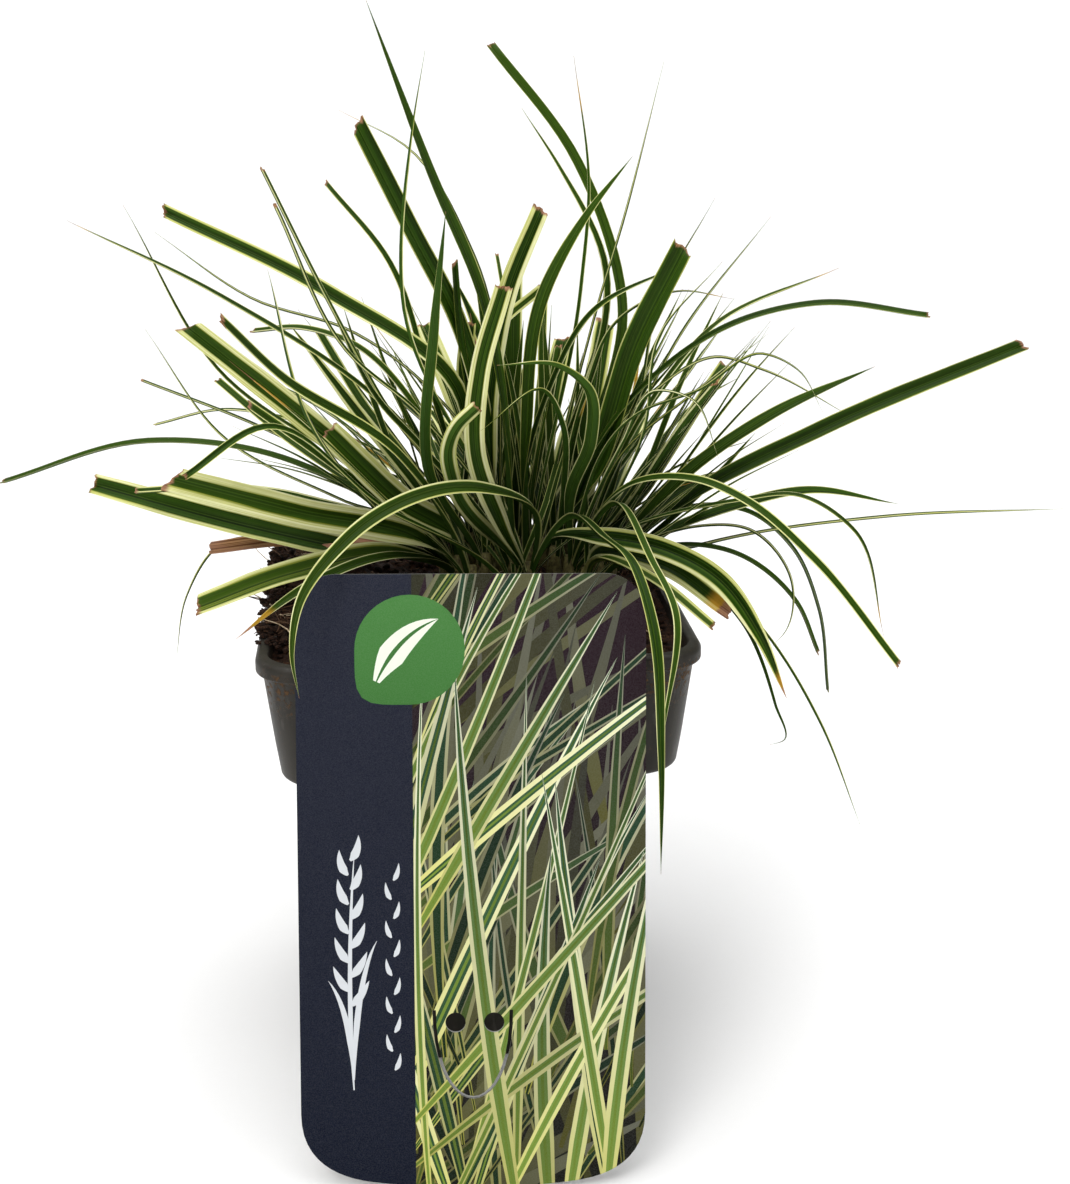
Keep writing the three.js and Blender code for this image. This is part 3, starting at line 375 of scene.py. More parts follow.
class Shader:
    """A material with one surface shader, and short ways to join nodes to it."""

    def __init__(self, name, roughness=0.5, specular=0.5):
        self.material = bpy.data.materials.new(name)
        self.material.use_nodes = True
        self.tree = self.material.node_tree
        self.surface = self.tree.nodes["Principled BSDF"]
        self.surface.inputs["Roughness"].default_value = roughness
        self.surface.inputs["Specular IOR Level"].default_value = specular

    def node(self, kind, settings=(), **inputs):
        made = self.tree.nodes.new("ShaderNode" + kind)
        for key, value in dict(settings).items():
            setattr(made, key, value)
        for key, value in inputs.items():
            self.join(value, made.inputs[key])
        return made

    def join(self, value, socket):
        value = getattr(value, "socket", value)
        if isinstance(value, bpy.types.NodeSocket):
            self.tree.links.new(value, socket)
        elif socket.type == "RGBA" and len(value) == 3:
            socket.default_value = (*value, 1)
        else:
            socket.default_value = value

    def math(self, operation, *values):
        made = self.node("Math", {"operation": operation})
        for i, value in enumerate(values):
            self.join(value, made.inputs[i])
        return Term(self, made.outputs[0])

    def step(self, value, low, high):
        """0 below low, 1 above high, and smooth between."""
        made = self.node("MapRange", {"interpolation_type": "SMOOTHSTEP", "clamp": True})
        for i, part in enumerate((value, low, high)):
            self.join(part, made.inputs[i])
        return Term(self, made.outputs[0])

    def blend(self, share, first, second):
        made = self.node("Mix", {"data_type": "RGBA"})
        for i, part in ((0, share), (6, first), (7, second)):
            self.join(part, made.inputs[i])
        return Term(self, made.outputs[2])

    def noise(self, where, scale=1.0, detail=3, roughness=0.5):
        made = self.node("TexNoise", Vector=where, Scale=scale, Detail=detail, Roughness=roughness)
        return Term(self, made.outputs[0])

    def layer(self, name):
        """The two values of one of the mesh's layers."""
        made = self.node("SeparateXYZ", Vector=self.node("UVMap", {"uv_map": name}).outputs[0])
        return Term(self, made.outputs[0]), Term(self, made.outputs[1])

    def vector(self, x, y, z=0.0):
        return self.node("CombineXYZ", X=x, Y=y, Z=z).outputs[0]

    def place(self):
        """Places on the object, in millimetres."""
        made = self.node("VectorMath", {"operation": "SCALE"}, Scale=1000.0)
        self.join(self.node("TexCoord").outputs["Object"], made.inputs[0])
        return made.outputs[0]

    def finish(self, colour, rough=None, height=None, distance=0.1, strength=1.0):
        self.join(colour, self.surface.inputs["Base Color"])
        if rough is not None:
            self.join(rough, self.surface.inputs["Roughness"])
        if height is not None:
            bump = self.node("Bump", Height=height, Distance=distance * MM, Strength=strength)
            self.join(bump.outputs[0], self.surface.inputs["Normal"])
        return self.material


def leaf_material(name, leaves, upper):
    """Green middle, cream margins, fine ribs along the blade, painted shade at the foot, and dry brown at the
    tip.
    """
    shader = Shader(name, specular=leaves.gloss)
    across, along = shader.layer("blade")
    from_rib, to_tip = shader.layer("share")
    margin, lot = shader.layer("kind")
    dry, pale = shader.layer("wear")
    seed = lot * 37.0
    fine = shader.noise(shader.vector(across * 36.0, along * 1.2, seed), detail=2)
    broad = shader.noise(shader.vector(across * 11.0, along * 0.5, seed), detail=2)
    slow = shader.noise(shader.vector(across * 2.0, along * 6.0, seed))
    stripes = shader.noise(shader.vector(across * 17.0, along * 0.25, seed + 5.0), detail=1)

    green = shader.blend(shader.step(broad, 0.3, 0.7), leaves.green_dark, leaves.green_light)
    green = shader.blend(shader.step(fine, 0.5, 0.75) * 0.4, green, leaves.green_streak)
    green = shader.blend(shader.step(slow, 0.4, 0.75) * 0.35, green, leaves.green_light)
    green = shader.blend(pale * 0.4, green, leaves.green_streak)
    striping = shader.step(stripes, 0.53, 0.60) * shader.step(pale, 0.62, 0.9)
    green = shader.blend(striping, green, leaves.cream_green)
    if not upper:
        green = shader.blend(0.45, green, leaves.under)
    cream = shader.blend(shader.step(fine, 0.3, 0.7), leaves.cream, leaves.cream_light)
    cream = shader.blend(shader.step(slow, 0.45, 0.8) * 0.35, cream, leaves.cream_green)
    beyond = from_rib + (slow - 0.5) * 0.10 + (broad - 0.5) * 0.20 - margin
    edge = shader.blend(shader.step(beyond, 0.0, 0.13), leaves.cream_green, cream)
    blade = shader.blend(shader.step(beyond, -0.02, 0.02), green, edge)
    blade = shader.blend((1.0 - shader.step(from_rib, 0.015, 0.07)) * 0.5, blade, leaves.green_dark)
    beside_rib = (1.0 - shader.step(from_rib - 0.1, 0.0, 0.05)) * shader.step(from_rib, 0.06, 0.1)
    blade = shader.blend(beside_rib * 0.4, blade, leaves.green_streak)
    # Painted shade: the lower part of every blade darkens towards the foot, where the dense clump shades it.
    blade = shader.blend((1.0 - shader.step(along, 0.05, 0.55)) * 0.68, blade, leaves.shade)

    reach = to_tip + (broad - 0.5) * 0.016
    withered = 1.0 - shader.step(reach - dry, -0.004, 0.004)
    turning = 1.0 - shader.step(reach - dry * 2.4, -0.02, 0.01)
    turning = turning * shader.step(dry, 0.008, 0.02)
    blade = shader.blend(turning * 0.6, blade, leaves.turning)
    straw = shader.blend(shader.step(fine, 0.35, 0.65), leaves.dry_dark, leaves.dry_light)
    straw = shader.blend(shader.step(slow, 0.35, 0.65) * 0.5, straw, leaves.dry_pink)
    rough = fine * 0.16 + (0.30 if upper else 0.42) + withered * 0.3
    return shader.finish(shader.blend(withered, blade, straw), rough, fine + broad * 1.4, 0.09)


def fibrous_material(name, dark, light, stretch, roughness):
    """Dry fibrous tissue, such as a cut end, a sheath or a rootlet."""
    shader = Shader(name, roughness, 0.2)
    grain = shader.noise(shader.place(), stretch, 4, 0.6)
    colour = shader.blend(shader.step(grain, 0.3, 0.7), dark, light)
    return shader.finish(colour, grain * 0.2 + (roughness - 0.1), grain, 0.12)


def peat_material(name, soil, grain_scale):
    shader = Shader(name, 0.9, 0.2)
    where = shader.place()
    lumps = shader.noise(where, grain_scale, 6, 0.65)
    specks = shader.noise(where, grain_scale * 4, 3, 0.6)
    colour = shader.blend(shader.step(lumps, 0.35, 0.7), soil.dark, soil.light)
    colour = shader.blend(shader.step(specks, 0.62, 0.72) * 0.5, colour, soil.fleck)
    return shader.finish(colour, lumps * 0.3 + 0.72, lumps + specks * 0.6, 0.5)


def plastic_material(pot):
    """Satin plastic with flow marks, scuffs, and dried peat under the lip at both front corners."""
    shader = Shader("pot_plastic", 0.42, pot.gloss)
    where = shader.place()
    x, y, z = (Term(shader, part) for part in shader.node("SeparateXYZ", Vector=where).outputs)
    flow = shader.noise(shader.vector(x * 0.25, y * 0.25, z * 0.03))
    grain = shader.noise(where, 3.2, 3, 0.6)
    scuff = shader.noise(shader.vector(x * 0.9, y * 0.9, z * 0.18), detail=4)
    crumbs = shader.noise(where, 0.9, 5, 0.7)
    colour = shader.blend(shader.step(flow, 0.3, 0.7), pot.colour, pot.colour_light)
    colour = shader.blend(shader.step(scuff, 0.6, 0.72) * 0.1, colour, pot.scuff)
    under_lip = shader.step(z, 86.0, 95.0) * (1.0 - shader.step(z, 97.5, 99.0))
    corner = shader.step(shader.math("ABSOLUTE", x) - y, 66.0, 78.0)
    soiled = under_lip * corner * shader.step(crumbs, 0.50, 0.62)
    colour = shader.blend(soiled * 0.85, colour, pot.dirt)
    dusty = shader.step(z, 40.0, 99.0) * shader.step(crumbs, 0.60, 0.66)
    colour = shader.blend(dusty * 0.22, colour, pot.dirt)
    return shader.finish(colour, grain * 0.14 + soiled * 0.4 + 0.34, grain * 0.35 + soiled * 2.0, 0.06)


def print_material(label):
    """The printed face of the label: ink under a thin glossy film."""
    shader = Shader("label_print", 0.3, label.gloss)
    where = shader.place()
    ink = shader.node("VertexColor", {"layer_name": "ink"}).outputs["Color"]
    grain = shader.noise(where, 5.0, 2)
    cloud = shader.noise(where, 0.12, 2)
    colour = shader.blend(shader.step(grain, 0.35, 0.8) * 0.02, ink, label.film)
    return shader.finish(colour, grain * 0.12 + 0.22, grain * 0.05 + cloud, 0.35, 0.5)


def plain_material(name, light, dark, roughness, specular, scale):
    """A plain surface with a slight mottle: bare film, cut edges, the floor."""
    shader = Shader(name, roughness, specular)
    grain = shader.noise(shader.place(), scale, 3, 0.6)
    colour = shader.blend(grain * 0.3, light, dark)
    return shader.finish(colour, grain * 0.16 + (roughness - 0.08), grain, 0.02)


# ---------------------------------------------------------------- pot

def body_half(z):
    return mix(BASE_HALF, SHOULDER_HALF, np.clip(z / COLLAR_BOTTOM, 0, 1))


def collar_half(z):
    top = RIM_HEIGHT - LIP_HEIGHT
    return mix(COLLAR_HALF, RIM_HALF - LIP_STEP, np.clip((z - COLLAR_BOTTOM) / (top - COLLAR_BOTTOM), 0, 1))


def wall_half(z):
    """Half the width of the outside at a height, without the lip."""
    return np.where(z < COLLAR_BOTTOM, body_half(z), collar_half(z))


def corner_at(z):
    return mix(BASE_CORNER, RIM_CORNER, clamp01(z / RIM_HEIGHT))


def rounded_square(half, radius, steps=14, side_steps=6):
    """The outline of a square with round corners, anticlockwise."""
    outline = []
    for corner in range(4):
        middle = turned(half - radius, half - radius, 90 * corner)
        for step in range(steps + 1):
            angle = math.radians(90 * (corner + step / steps))
            outline.append((middle[0] + radius * math.cos(angle), middle[1] + radius * math.sin(angle)))
        follow = turned(-(half - radius), half, 90 * corner)
        last = outline[-1]
        for step in range(1, side_steps):
            k = step / side_steps
            outline.append((mix(last[0], follow[0], k), mix(last[1], follow[1], k)))
    return outline


def arc(middle, radius, start, end, steps):
    """Points (half width, height) along an arc, with angles in degrees from straight out."""
    angles = [math.radians(mix(start, end, step / steps)) for step in range(steps + 1)]
    return [(middle[0] + radius * math.cos(a), middle[1] + radius * math.sin(a)) for a in angles]


def pot_profile():
    """Half width and height up the outside, over the lip and down the inside to the floor."""
    lip_bottom = RIM_HEIGHT - LIP_HEIGHT
    ledge = COLLAR_BOTTOM + WALL
    edge, roll, fillet, lip_round = 0.8, 2.0, 0.7, 1.1
    rim_inside = collar_half(RIM_HEIGHT) - WALL
    outside = arc((BASE_HALF - edge, edge), edge, -90, 0, 4)
    outside += [(body_half(z), z) for z in (12, 30, 50)]
    outside += arc((SHOULDER_HALF + fillet, COLLAR_BOTTOM - fillet), fillet, 180, 90, 4)
    outside += arc((COLLAR_HALF - roll + 0.1, COLLAR_BOTTOM + roll), roll, -90, 0, 6)
    outside += [(collar_half(z), z) for z in (80, 88, lip_bottom - 0.8)]
    outside += [(collar_half(lip_bottom) + 0.25, lip_bottom - 0.35), (RIM_HALF - 0.6, lip_bottom)]
    outside += arc((RIM_HALF - 0.5, lip_bottom + 0.5), 0.5, -70, 0, 3)
    outside += arc((RIM_HALF - lip_round, RIM_HEIGHT - lip_round), lip_round, 0, 90, 5)
    inside = arc((rim_inside + 0.7, RIM_HEIGHT - 0.7), 0.7, 100, 180, 4)
    inside += [(collar_half(z) - WALL, z) for z in (94, 84)]
    inside += [(collar_half(ledge) - WALL, ledge + 0.4), (collar_half(ledge) - WALL - 0.5, ledge)]
    inside += [(SHOULDER_HALF - WALL, ledge), (body_half(40) - WALL, 40), (BASE_HALF - WALL, WALL)]
    return outside + inside


def planar_cut(shapes):
    """Splits overlapping flat shapes: the points, the triangles and the shapes that each one lies in."""
    points, faces = [], []
    for shape in shapes:
        x, y = np.array(shape).T
        anticlockwise = (x * np.roll(y, -1) - y * np.roll(x, -1)).sum() > 0
        faces.append(list(range(len(points), len(points) + len(shape))))
        points.extend(Vector(point) for point in (shape if anticlockwise else shape[::-1]))
    points, _, triangles, _, _, inside = geometry.delaunay_2d_cdt(points, [], faces, 1, 1e-4)
    return [tuple(point) for point in points], [tuple(t) for t in triangles], inside


def circle(x, y, radius, steps):
    return [
        (x + radius * math.cos(2 * math.pi * i / steps), y + radius * math.sin(2 * math.pi * i / steps))
        for i in range(steps)
    ]


def open_edges(triangles):
    """The directed edges that only one triangle has."""
    seen = set()
    for a, b, c in triangles:
        seen.update(((a, b), (b, c), (c, a)))
    return [(a, b) for a, b in seen if (b, a) not in seen]


def build_pot(pot):
    profile = pot_profile()
    inner_rings, least_corner = 11, 3
    rings = []
    for number, (half, z) in enumerate(profile):
        inner = number >= len(profile) - inner_rings
        rings.append(rounded_square(half, max(corner_at(z) - (WALL if inner else 0), least_corner)))
    sides = len(rings[0])
    points = [(x, y, z) for ring, (_, z) in zip(rings, profile) for x, y in ring]
    faces = ring_faces(len(rings), sides)
    holes = []
    for quarter in range(4):
        for radius, x, y in DRAINS:
            holes.append(circle(*turned(x, y, 90 * quarter), radius, 28))
    for outline, z, up in ((rings[0], 0.0, False), (rings[-1], WALL, True)):
        flat, triangles, inside = planar_cut([outline, *holes])
        start = len(points)
        points.extend((x, y, z) for x, y in flat)
        for triangle, shapes in zip(triangles, inside):
            if max(shapes) == 0:
                a, b, c = (start + i for i in triangle)
                faces.append((a, b, c) if up else (c, b, a))
    for hole in holes:
        start, count = len(points), len(hole)
        points.extend((x, y, z) for z in (0.0, WALL) for x, y in hole)
        for i in range(count):
            after = (i + 1) % count
            faces.append((start + i, start + count + i, start + count + after, start + after))
    make_piece("pot_shell", points, faces, [plastic_material(pot)], "pot", sharp=38)


# ---------------------------------------------------------------- peat

def hump(x, y, middle_x, middle_y, reach):
    return np.exp(-((x - middle_x) ** 2 + (y - middle_y) ** 2) / (2 * reach ** 2))


def soil_height(x, y):
    height = RIM_HEIGHT + SOIL_LEVEL
    for rise, middle_x, middle_y, reach in SOIL_HUMPS:
        height = height + rise * hump(x, y, middle_x, middle_y, reach)
    return height


def roughened(x, y, z):
    """Lumps and crumbs on the peat, at a place in millimetres."""
    lumps = 1.3 * noise.noise(Vector((x * 0.16, y * 0.16, 3.0)))
    clods = 0.9 * noise.noise(Vector((x * 0.45, y * 0.45, 9.0)))
    crumbs = 0.55 * noise.turbulence(Vector((x * 0.9, y * 0.9, z * 0.2)), 3, False)
    return lumps + clods + crumbs - 0.3


def build_peat(soil):
    top, bottom = RIM_HEIGHT - 1.2, 80.0
    edge = rounded_square(collar_half(top) - WALL - 0.15, RIM_CORNER - WALL, 10, 30)
    rings = 52
    points = []
    for ring in range(rings):
        k = 1 - ring / rings
        for x, y in edge:
            px, py = x * k, y * k
            z = float(soil_height(px, py))
            z += roughened(px, py, z) * min(1.0, ring / 3 + 0.35)
            if ring == 0:
                z = min(z, top)
            points.append((px, py, z))
    points.append((0.0, 0.0, float(soil_height(0, 0))))
    sides = len(edge)
    faces = ring_faces(rings, sides)
    last = (rings - 1) * sides
    faces.extend((last + i, last + (i + 1) % sides, len(points) - 1) for i in range(sides))
    skirt = len(points)
    deep = rounded_square(collar_half(bottom) - WALL - 0.3, RIM_CORNER - WALL, 10, 30)
    points.extend((x, y, bottom) for x, y in deep)
    for i in range(sides):
        after = (i + 1) % sides
        faces.append((skirt + i, skirt + after, after, i))
    points.append((0.0, 0.0, bottom))
    faces.extend((skirt + (i + 1) % sides, skirt + i, len(points) - 1) for i in range(sides))
    make_piece("peat_surface", points, faces, [peat_material("peat", soil, 0.7)], "soil", sharp=75)
    scatter_crumbs(soil)
    lay_fibres(soil)


def ball():
    """Twelve points and twenty triangles of a ball, which every crumb is a lumpy copy of."""
    radius, height = 0.894, 0.447
    points = [(0, 0, 1)]
    for up, start in ((1, 0), (-1, 36)):
        for k in range(5):
            x, y = turned(radius, 0, start + 72 * k)
            points.append((round(x, 2), round(y, 2), round(up * height, 2)))
    points.append((0, 0, -1))
    pairs = [(k, (k + 1) % 5) for k in range(5)]
    faces = [(0, 1 + k, 1 + after) for k, after in pairs]
    faces += [(1 + k, 6 + k, 1 + after) for k, after in pairs]
    faces += [(6 + k, 6 + after, 1 + after) for k, after in pairs]
    faces += [(11, 6 + after, 6 + k) for k, after in pairs]
    return np.array(points, float), faces


def inside_rim(random, margin):
    """A random place inside the rim, away from the wall by a margin."""
    half = collar_half(RIM_HEIGHT) - WALL - margin
    while True:
        x, y = half * (2 * random() - 1), half * (2 * random() - 1)
        over = math.hypot(max(abs(x) - half + 6, 0), max(abs(y) - half + 6, 0))
        if over < 6:
            return x, y


def scatter_crumbs(soil):
    """Loose crumbs on the peat, and some heaped on the left lip."""
    random = seeded(211)
    points, faces = [], []
    round_ball, ball_faces = ball()
    for number in range(soil.crumbs + soil.spilled):
        x, y = inside_rim(random, 1.2)
        spilled = number >= soil.crumbs
        if spilled:
            x, y = mix(*SPILL_X, random() ** 1.2), mix(*SPILL_Y, random())
        size = soil.crumb_size / MM * mix(0.25, 1.0, random() ** 2.5)
        turn = 2 * math.pi * random()
        c, s = math.cos(turn), math.sin(turn)
        spin = np.array(((c, -s, 0), (s, c, 0), (0, 0, 1)))
        stretch = np.array((mix(0.7, 1.6, random()), mix(0.6, 1.2, random()), mix(0.5, 0.9, random())))
        lumpy = np.array([mix(0.72, 1.25, random()) for _ in round_ball])[:, None]
        z = float(soil_height(x, y))
        z += roughened(x, y, z)
        if spilled:
            inward = max(0.0, x + 43.0)
            on_lip = RIM_HEIGHT + 0.2 - 0.5 * inward
            z = max(z, on_lip) + HEAP_RISE * random() ** 1.6 * hump(x, y, *HEAP_MIDDLE, HEAP_REACH)
        start = len(points)
        points.extend((round_ball * lumpy * stretch * size / 2) @ spin.T + np.array((x, y, z + 0.12 * size)))
        faces.extend(tuple(start + i for i in face) for face in ball_faces)
    make_piece("peat_crumbs", points, faces, [peat_material("peat_crumb", soil, 1.6)], sharp=80)


def tube(path, radii, sides=4):
    """A thin closed tube along a path: its points and faces."""
    path = np.asarray(path, float)
    points = []
    heading = np.gradient(path, axis=0)
    side = np.array((0.3, 0.5, 0.81))
    for i, (place, along) in enumerate(zip(path, heading)):
        along = unit(along)
        side = unit(side - along * (side @ along))
        up = cross(along, side)
        for k in range(sides):
            angle = 2 * math.pi * k / sides
            points.append(place + radii[i] * (math.cos(angle) * side + math.sin(angle) * up))
    faces = ring_faces(len(path), sides)
    faces.append(tuple(range(sides))[::-1])
    faces.append(tuple(range(len(points) - sides, len(points))))
    return points, faces


def lay_fibres(soil):
    """Peat fibres and rootlets that lie on the peat or stand out of it."""
    random = seeded(977)
    points, faces, kinds = [], [], []
    for number in range(soil.fibres):
        x, y = inside_rim(random, 2.5)
        heaped = number % 3 == 0
        if heaped:
            x, y = (m + r * (2 * random() - 1) for m, r in zip(FIBRE_MIDDLE, FIBRE_REACH))
        length = mix(3, 11, random())
        heading = 2 * math.pi * random()
        curl = 1.6 * (2 * random() - 1)
        lift = mix(-0.1, 0.55, random() ** 2)
        path = []
        px, py, rise = x, y, 0.15
        for step in range(FIBRE_STEPS):
            ground = float(soil_height(px, py))
            ground += roughened(px, py, ground)
            if heaped:
                ground = max(ground, RIM_HEIGHT + 0.5)
            path.append((px, py, ground + rise))
            heading += curl / FIBRE_STEPS + 0.5 * (random() - 0.5)
            px += length / FIBRE_STEPS * math.cos(heading)
            py += length / FIBRE_STEPS * math.sin(heading)
            rise += length / FIBRE_STEPS * lift
            if max(abs(px), abs(py)) > 42 and path[-1][2] < RIM_HEIGHT + 0.6:
                break
        if len(path) < 4:
            continue
        thick = mix(0.09, 0.26, random() ** 2)
        radii = [thick * mix(1, 0.35, i / len(path)) for i in range(len(path))]
        made, sides = tube(path, radii)
        start = len(points)
        points.extend(made)
        faces.extend(tuple(start + i for i in face) for face in sides)
        kinds.extend([1 if random() < 0.16 else 0] * len(sides))
    brown = fibrous_material("peat_fibre", soil.fibre, soil.fibre_light, 1.5, 0.8)
    rootlet = fibrous_material("rootlet", soil.rootlet, soil.rootlet_light, 1.5, 0.6)
    make_piece("peat_fibres", points, faces, [brown, rootlet], kinds=kinds, sharp=70)


# ---------------------------------------------------------------- where leaves grow

class Cells:
    """Space divided in cells, which keeps the leaves of different tillers apart."""
    low = np.array((-150.0, -150.0, 0.0))
    count = np.array((240, 240, 190))

    def __init__(self):
        total = int(self.count.prod())
        self.owner = np.zeros(total, np.int16)
        # The owner of this cell or of one beside it, or -1 for several.
        self.near = np.zeros(total, np.int16)
        steps = (-1, 0, 1)
        across, row = self.count[0], self.count[1]
        self.beside = np.array([(k * row + j) * across + i for k in steps for j in steps for i in steps])

    def keys(self, points):
        i, j, k = np.floor((points - self.low) / CELL).astype(np.int64).T
        return (k * self.count[1] + j) * self.count[0] + i

    def enter(self, points, number):
        keys = np.unique(self.keys(points))
        self.owner[keys] = number
        around = np.unique(keys[:, None] + self.beside)
        found = self.near[around]
        self.near[around] = np.where((found == 0) | (found == number), number, -1)

    def clear(self, points, tiller, number, may_cross):
        keys, first = np.unique(self.keys(points), return_index=True)
        found = self.near[keys]
        if ((found != 0) & (found != number)).any():
            return False
        if may_cross:
            return True
        own = points[first[self.owner[keys] == number]]
        far = np.sqrt(((own - (tiller.x, tiller.y, tiller.ground)) ** 2).sum(1)) >= FOOT_REACH
        return not far.any()


class Tiller:
    def __init__(self, x, y):
        self.x, self.y, self.ground = x, y, float(soil_height(x, y))
        self.leaves = []


def tiller_places():
    """Tillers stand in rows, a little out of line."""
    random = seeded(5)
    places = []
    row_step = TILLER_PITCH * math.sqrt(3) / 2
    rows = math.floor(CROWN_REACH[1] / row_step)
    for row in range(-rows, rows + 1):
        for column in range(-4, 5):
            x = (column + (row & 1) / 2) * TILLER_PITCH + 0.8 * (random() - 0.5)
            y = row * row_step + 0.8 * (random() - 0.5)
            if (x / CROWN_REACH[0]) ** 2 + (y / CROWN_REACH[1]) ** 2 <= 1:
                places.append(Tiller(*turned(CROWN[0] + x, CROWN[1] + y, CLUMP_TURN)))
    return places


def smooth_line(points, start, steps):
    """A smooth line through points, starting along a given direction, as equal steps of its chords."""
    chords = np.sqrt((np.diff(points, axis=0) ** 2).sum(1))
    ways = np.diff(points, axis=0) / chords[:, None]
    slopes = [start]
    for i in range(1, len(points) - 1):
        share = chords[i - 1] / (chords[i - 1] + chords[i])
        slopes.append(ways[i - 1] * (1 - share) + ways[i] * share)
    slopes = np.array([*slopes, ways[-1]])
    ends = np.cumsum(chords)
    along = ends[-1] * np.arange(steps + 1) / steps
    span = np.minimum(np.searchsorted(ends[:-1], along, side="left"), len(chords) - 1)
    t = ((along - (ends - chords)[span]) / chords[span])[:, None]
    t2, t3 = t * t, t * t * t
    reach = chords[span][:, None]
    return (
        points[span] * (2 * t3 - 3 * t2 + 1) + points[span + 1] * (3 * t2 - 2 * t3)
        + slopes[span] * (t3 - 2 * t2 + t) * reach + slopes[span + 1] * (t3 - t2) * reach
    )


def eased(t):
    u = np.clip(t, 0, 1)
    return u * u * (3 - 2 * u)


class Leaf:
    """A leaf as fine cross sections: middle, direction to one edge, upper side, half width and fold."""

    def __init__(self, width, face, end, points, tiller, state="fresh"):
        self.width, self.end, self.state = width, end, state
        points = np.array(points, float)
        stem = np.array((tiller.x, tiller.y, tiller.ground + ROOT_RISE))
        lean = unit(np.array((points[0][0] - stem[0], points[0][1] - stem[1], 0.01)))
        root = stem + np.array((lean[0] * ROOT_OFFSET, lean[1] * ROOT_OFFSET, 0))
        start = unit(np.array((0, 0, 1.0)) + 0.6 * unit(points[0] - root))
        self.middle = smooth_line(np.vstack((root, points)), start, FINE_STEPS)
        stations = np.vstack(((tiller.x, tiller.y, tiller.ground), points))
        self.length = float(np.sqrt((np.diff(stations, axis=0) ** 2).sum(1)).sum())
        self.segments = 9 if len(points) > 3 else 6 if self.length > 60 else 4
        reach = points[-1] - root
        azimuth = math.atan2(reach[1], reach[0])
        after = np.vstack((self.middle[1:], self.middle[-1:]))
        before = np.vstack((self.middle[:1], self.middle[:-1]))
        heads = after - before
        heads /= np.sqrt((heads ** 2).sum(1))[:, None]
        side = (-math.sin(azimuth), math.cos(azimuth), 0.0)
        sides = []
        for ax, ay, az in heads.tolist():
            sx, sy, sz = side
            lift = sx * ax + sy * ay + sz * az
            sx, sy, sz = sx - ax * lift, sy - ay * lift, sz - az * lift
            size = math.sqrt(sx * sx + sy * sy + sz * sz)
            side = (sx / size, sy / size, sz / size)
            sides.append(side)
        sides = np.array(sides)
        uppers = np.cross(heads, sides)
        t = np.arange(FINE_STEPS + 1) / FINE_STEPS
        self.t = t
        roll = (math.radians(face / 90 * to_viewer(90 - math.degrees(azimuth))) * eased(t / TURNING))[:, None]
        self.heads = heads
        self.side = sides * np.cos(roll) + uppers * np.sin(roll)
        self.upper = uppers * np.cos(roll) - sides * np.sin(roll)
        last = np.clip((t - 0.6) / 0.4, 0, 1)
        taper = 1 - 0.15 * last * last if end == "cut" else 1 - last ** 1.6
        self.half = mix(min(width, FOOT_WIDTH), width, eased(t / WIDENING)) * taper / 2
        self.fold = np.radians(mix(FOOT_FOLD, FOLD, eased(t / TURNING)))

    def edge(self, sign):
        return (
            self.middle + self.side * (sign * self.half * np.cos(self.fold))[:, None]
            + self.upper * (self.half * np.sin(self.fold))[:, None]
        )

    def samples(self):
        """Points all over the blade by its main sections, in order on the way to the tip."""
        every = FINE_STEPS // self.segments
        left, middle, right = self.edge(-1)[::every], self.middle[::every], self.edge(1)[::every]
        half = self.half[::every]
        found = []
        for i in range(len(middle) - 1):
            steps = math.ceil(math.sqrt(float(((middle[i + 1] - middle[i]) ** 2).sum())) / SAMPLE)
            across = max(1, math.ceil(max(half[i], half[i + 1]) / SAMPLE))
            k = (np.arange(steps + 1) / steps)[:, None]
            row = [a[i] + (a[i + 1] - a[i]) * k for a in (left, middle, right)]
            s = (np.arange(across + 1) / across)[None, :, None]
            flanks = [a[:, None] + (b - a)[:, None] * s for a, b in zip(row, row[1:])]
            found.append(np.concatenate(flanks, 1).reshape(-1, 3))
        return np.concatenate(found)


def touches_holder(points, tiller):
    """True if a point is in or too near the pot, the peat or the label."""
    margin, label_margin, under_rim = 1.3, 1.6, 8
    x, y, z = points.T
    in_pot = np.maximum(abs(x), abs(y))
    away = np.hypot(x - tiller.x, y - tiller.y) > STEM_RADIUS
    opening = RIM_HALF - LIP_STEP - WALL
    if ((in_pot < opening) & (z < soil_height(x, y) + margin) & away).any():
        return True
    by_wall = (in_pot > opening - margin) & (in_pot < RIM_HALF + margin) & (z < RIM_HEIGHT + margin)
    if (by_wall & ((z > RIM_HEIGHT - LIP_HEIGHT - margin) | (in_pot < wall_half(z) + margin))).any():
        return True
    if (~by_wall & (in_pot < wall_half(z) + margin) & away & (z < RIM_HEIGHT - under_rim)).any():
        return True
    across, deep = turned(x - LABEL_X, y, -LABEL_TURN)
    lean = math.radians(LABEL_LEAN)
    up = z * math.cos(lean) + (deep + LABEL_FOOT) * math.sin(lean)
    off = (deep + LABEL_FOOT) * math.cos(lean) - z * math.sin(lean)
    near = (abs(across) < LABEL_WIDTH / 2 + margin) & (up < LABEL_LENGTH + margin) & (abs(off) < label_margin)
    return bool((~by_wall & near).any())


def grow(leaf, tiller, number, cells, may_cross):
    points = leaf.samples()
    if touches_holder(points, tiller) or not cells.clear(points, tiller, number, may_cross):
        return False
    cells.enter(points, number)
    tiller.leaves.append(leaf)
    return True


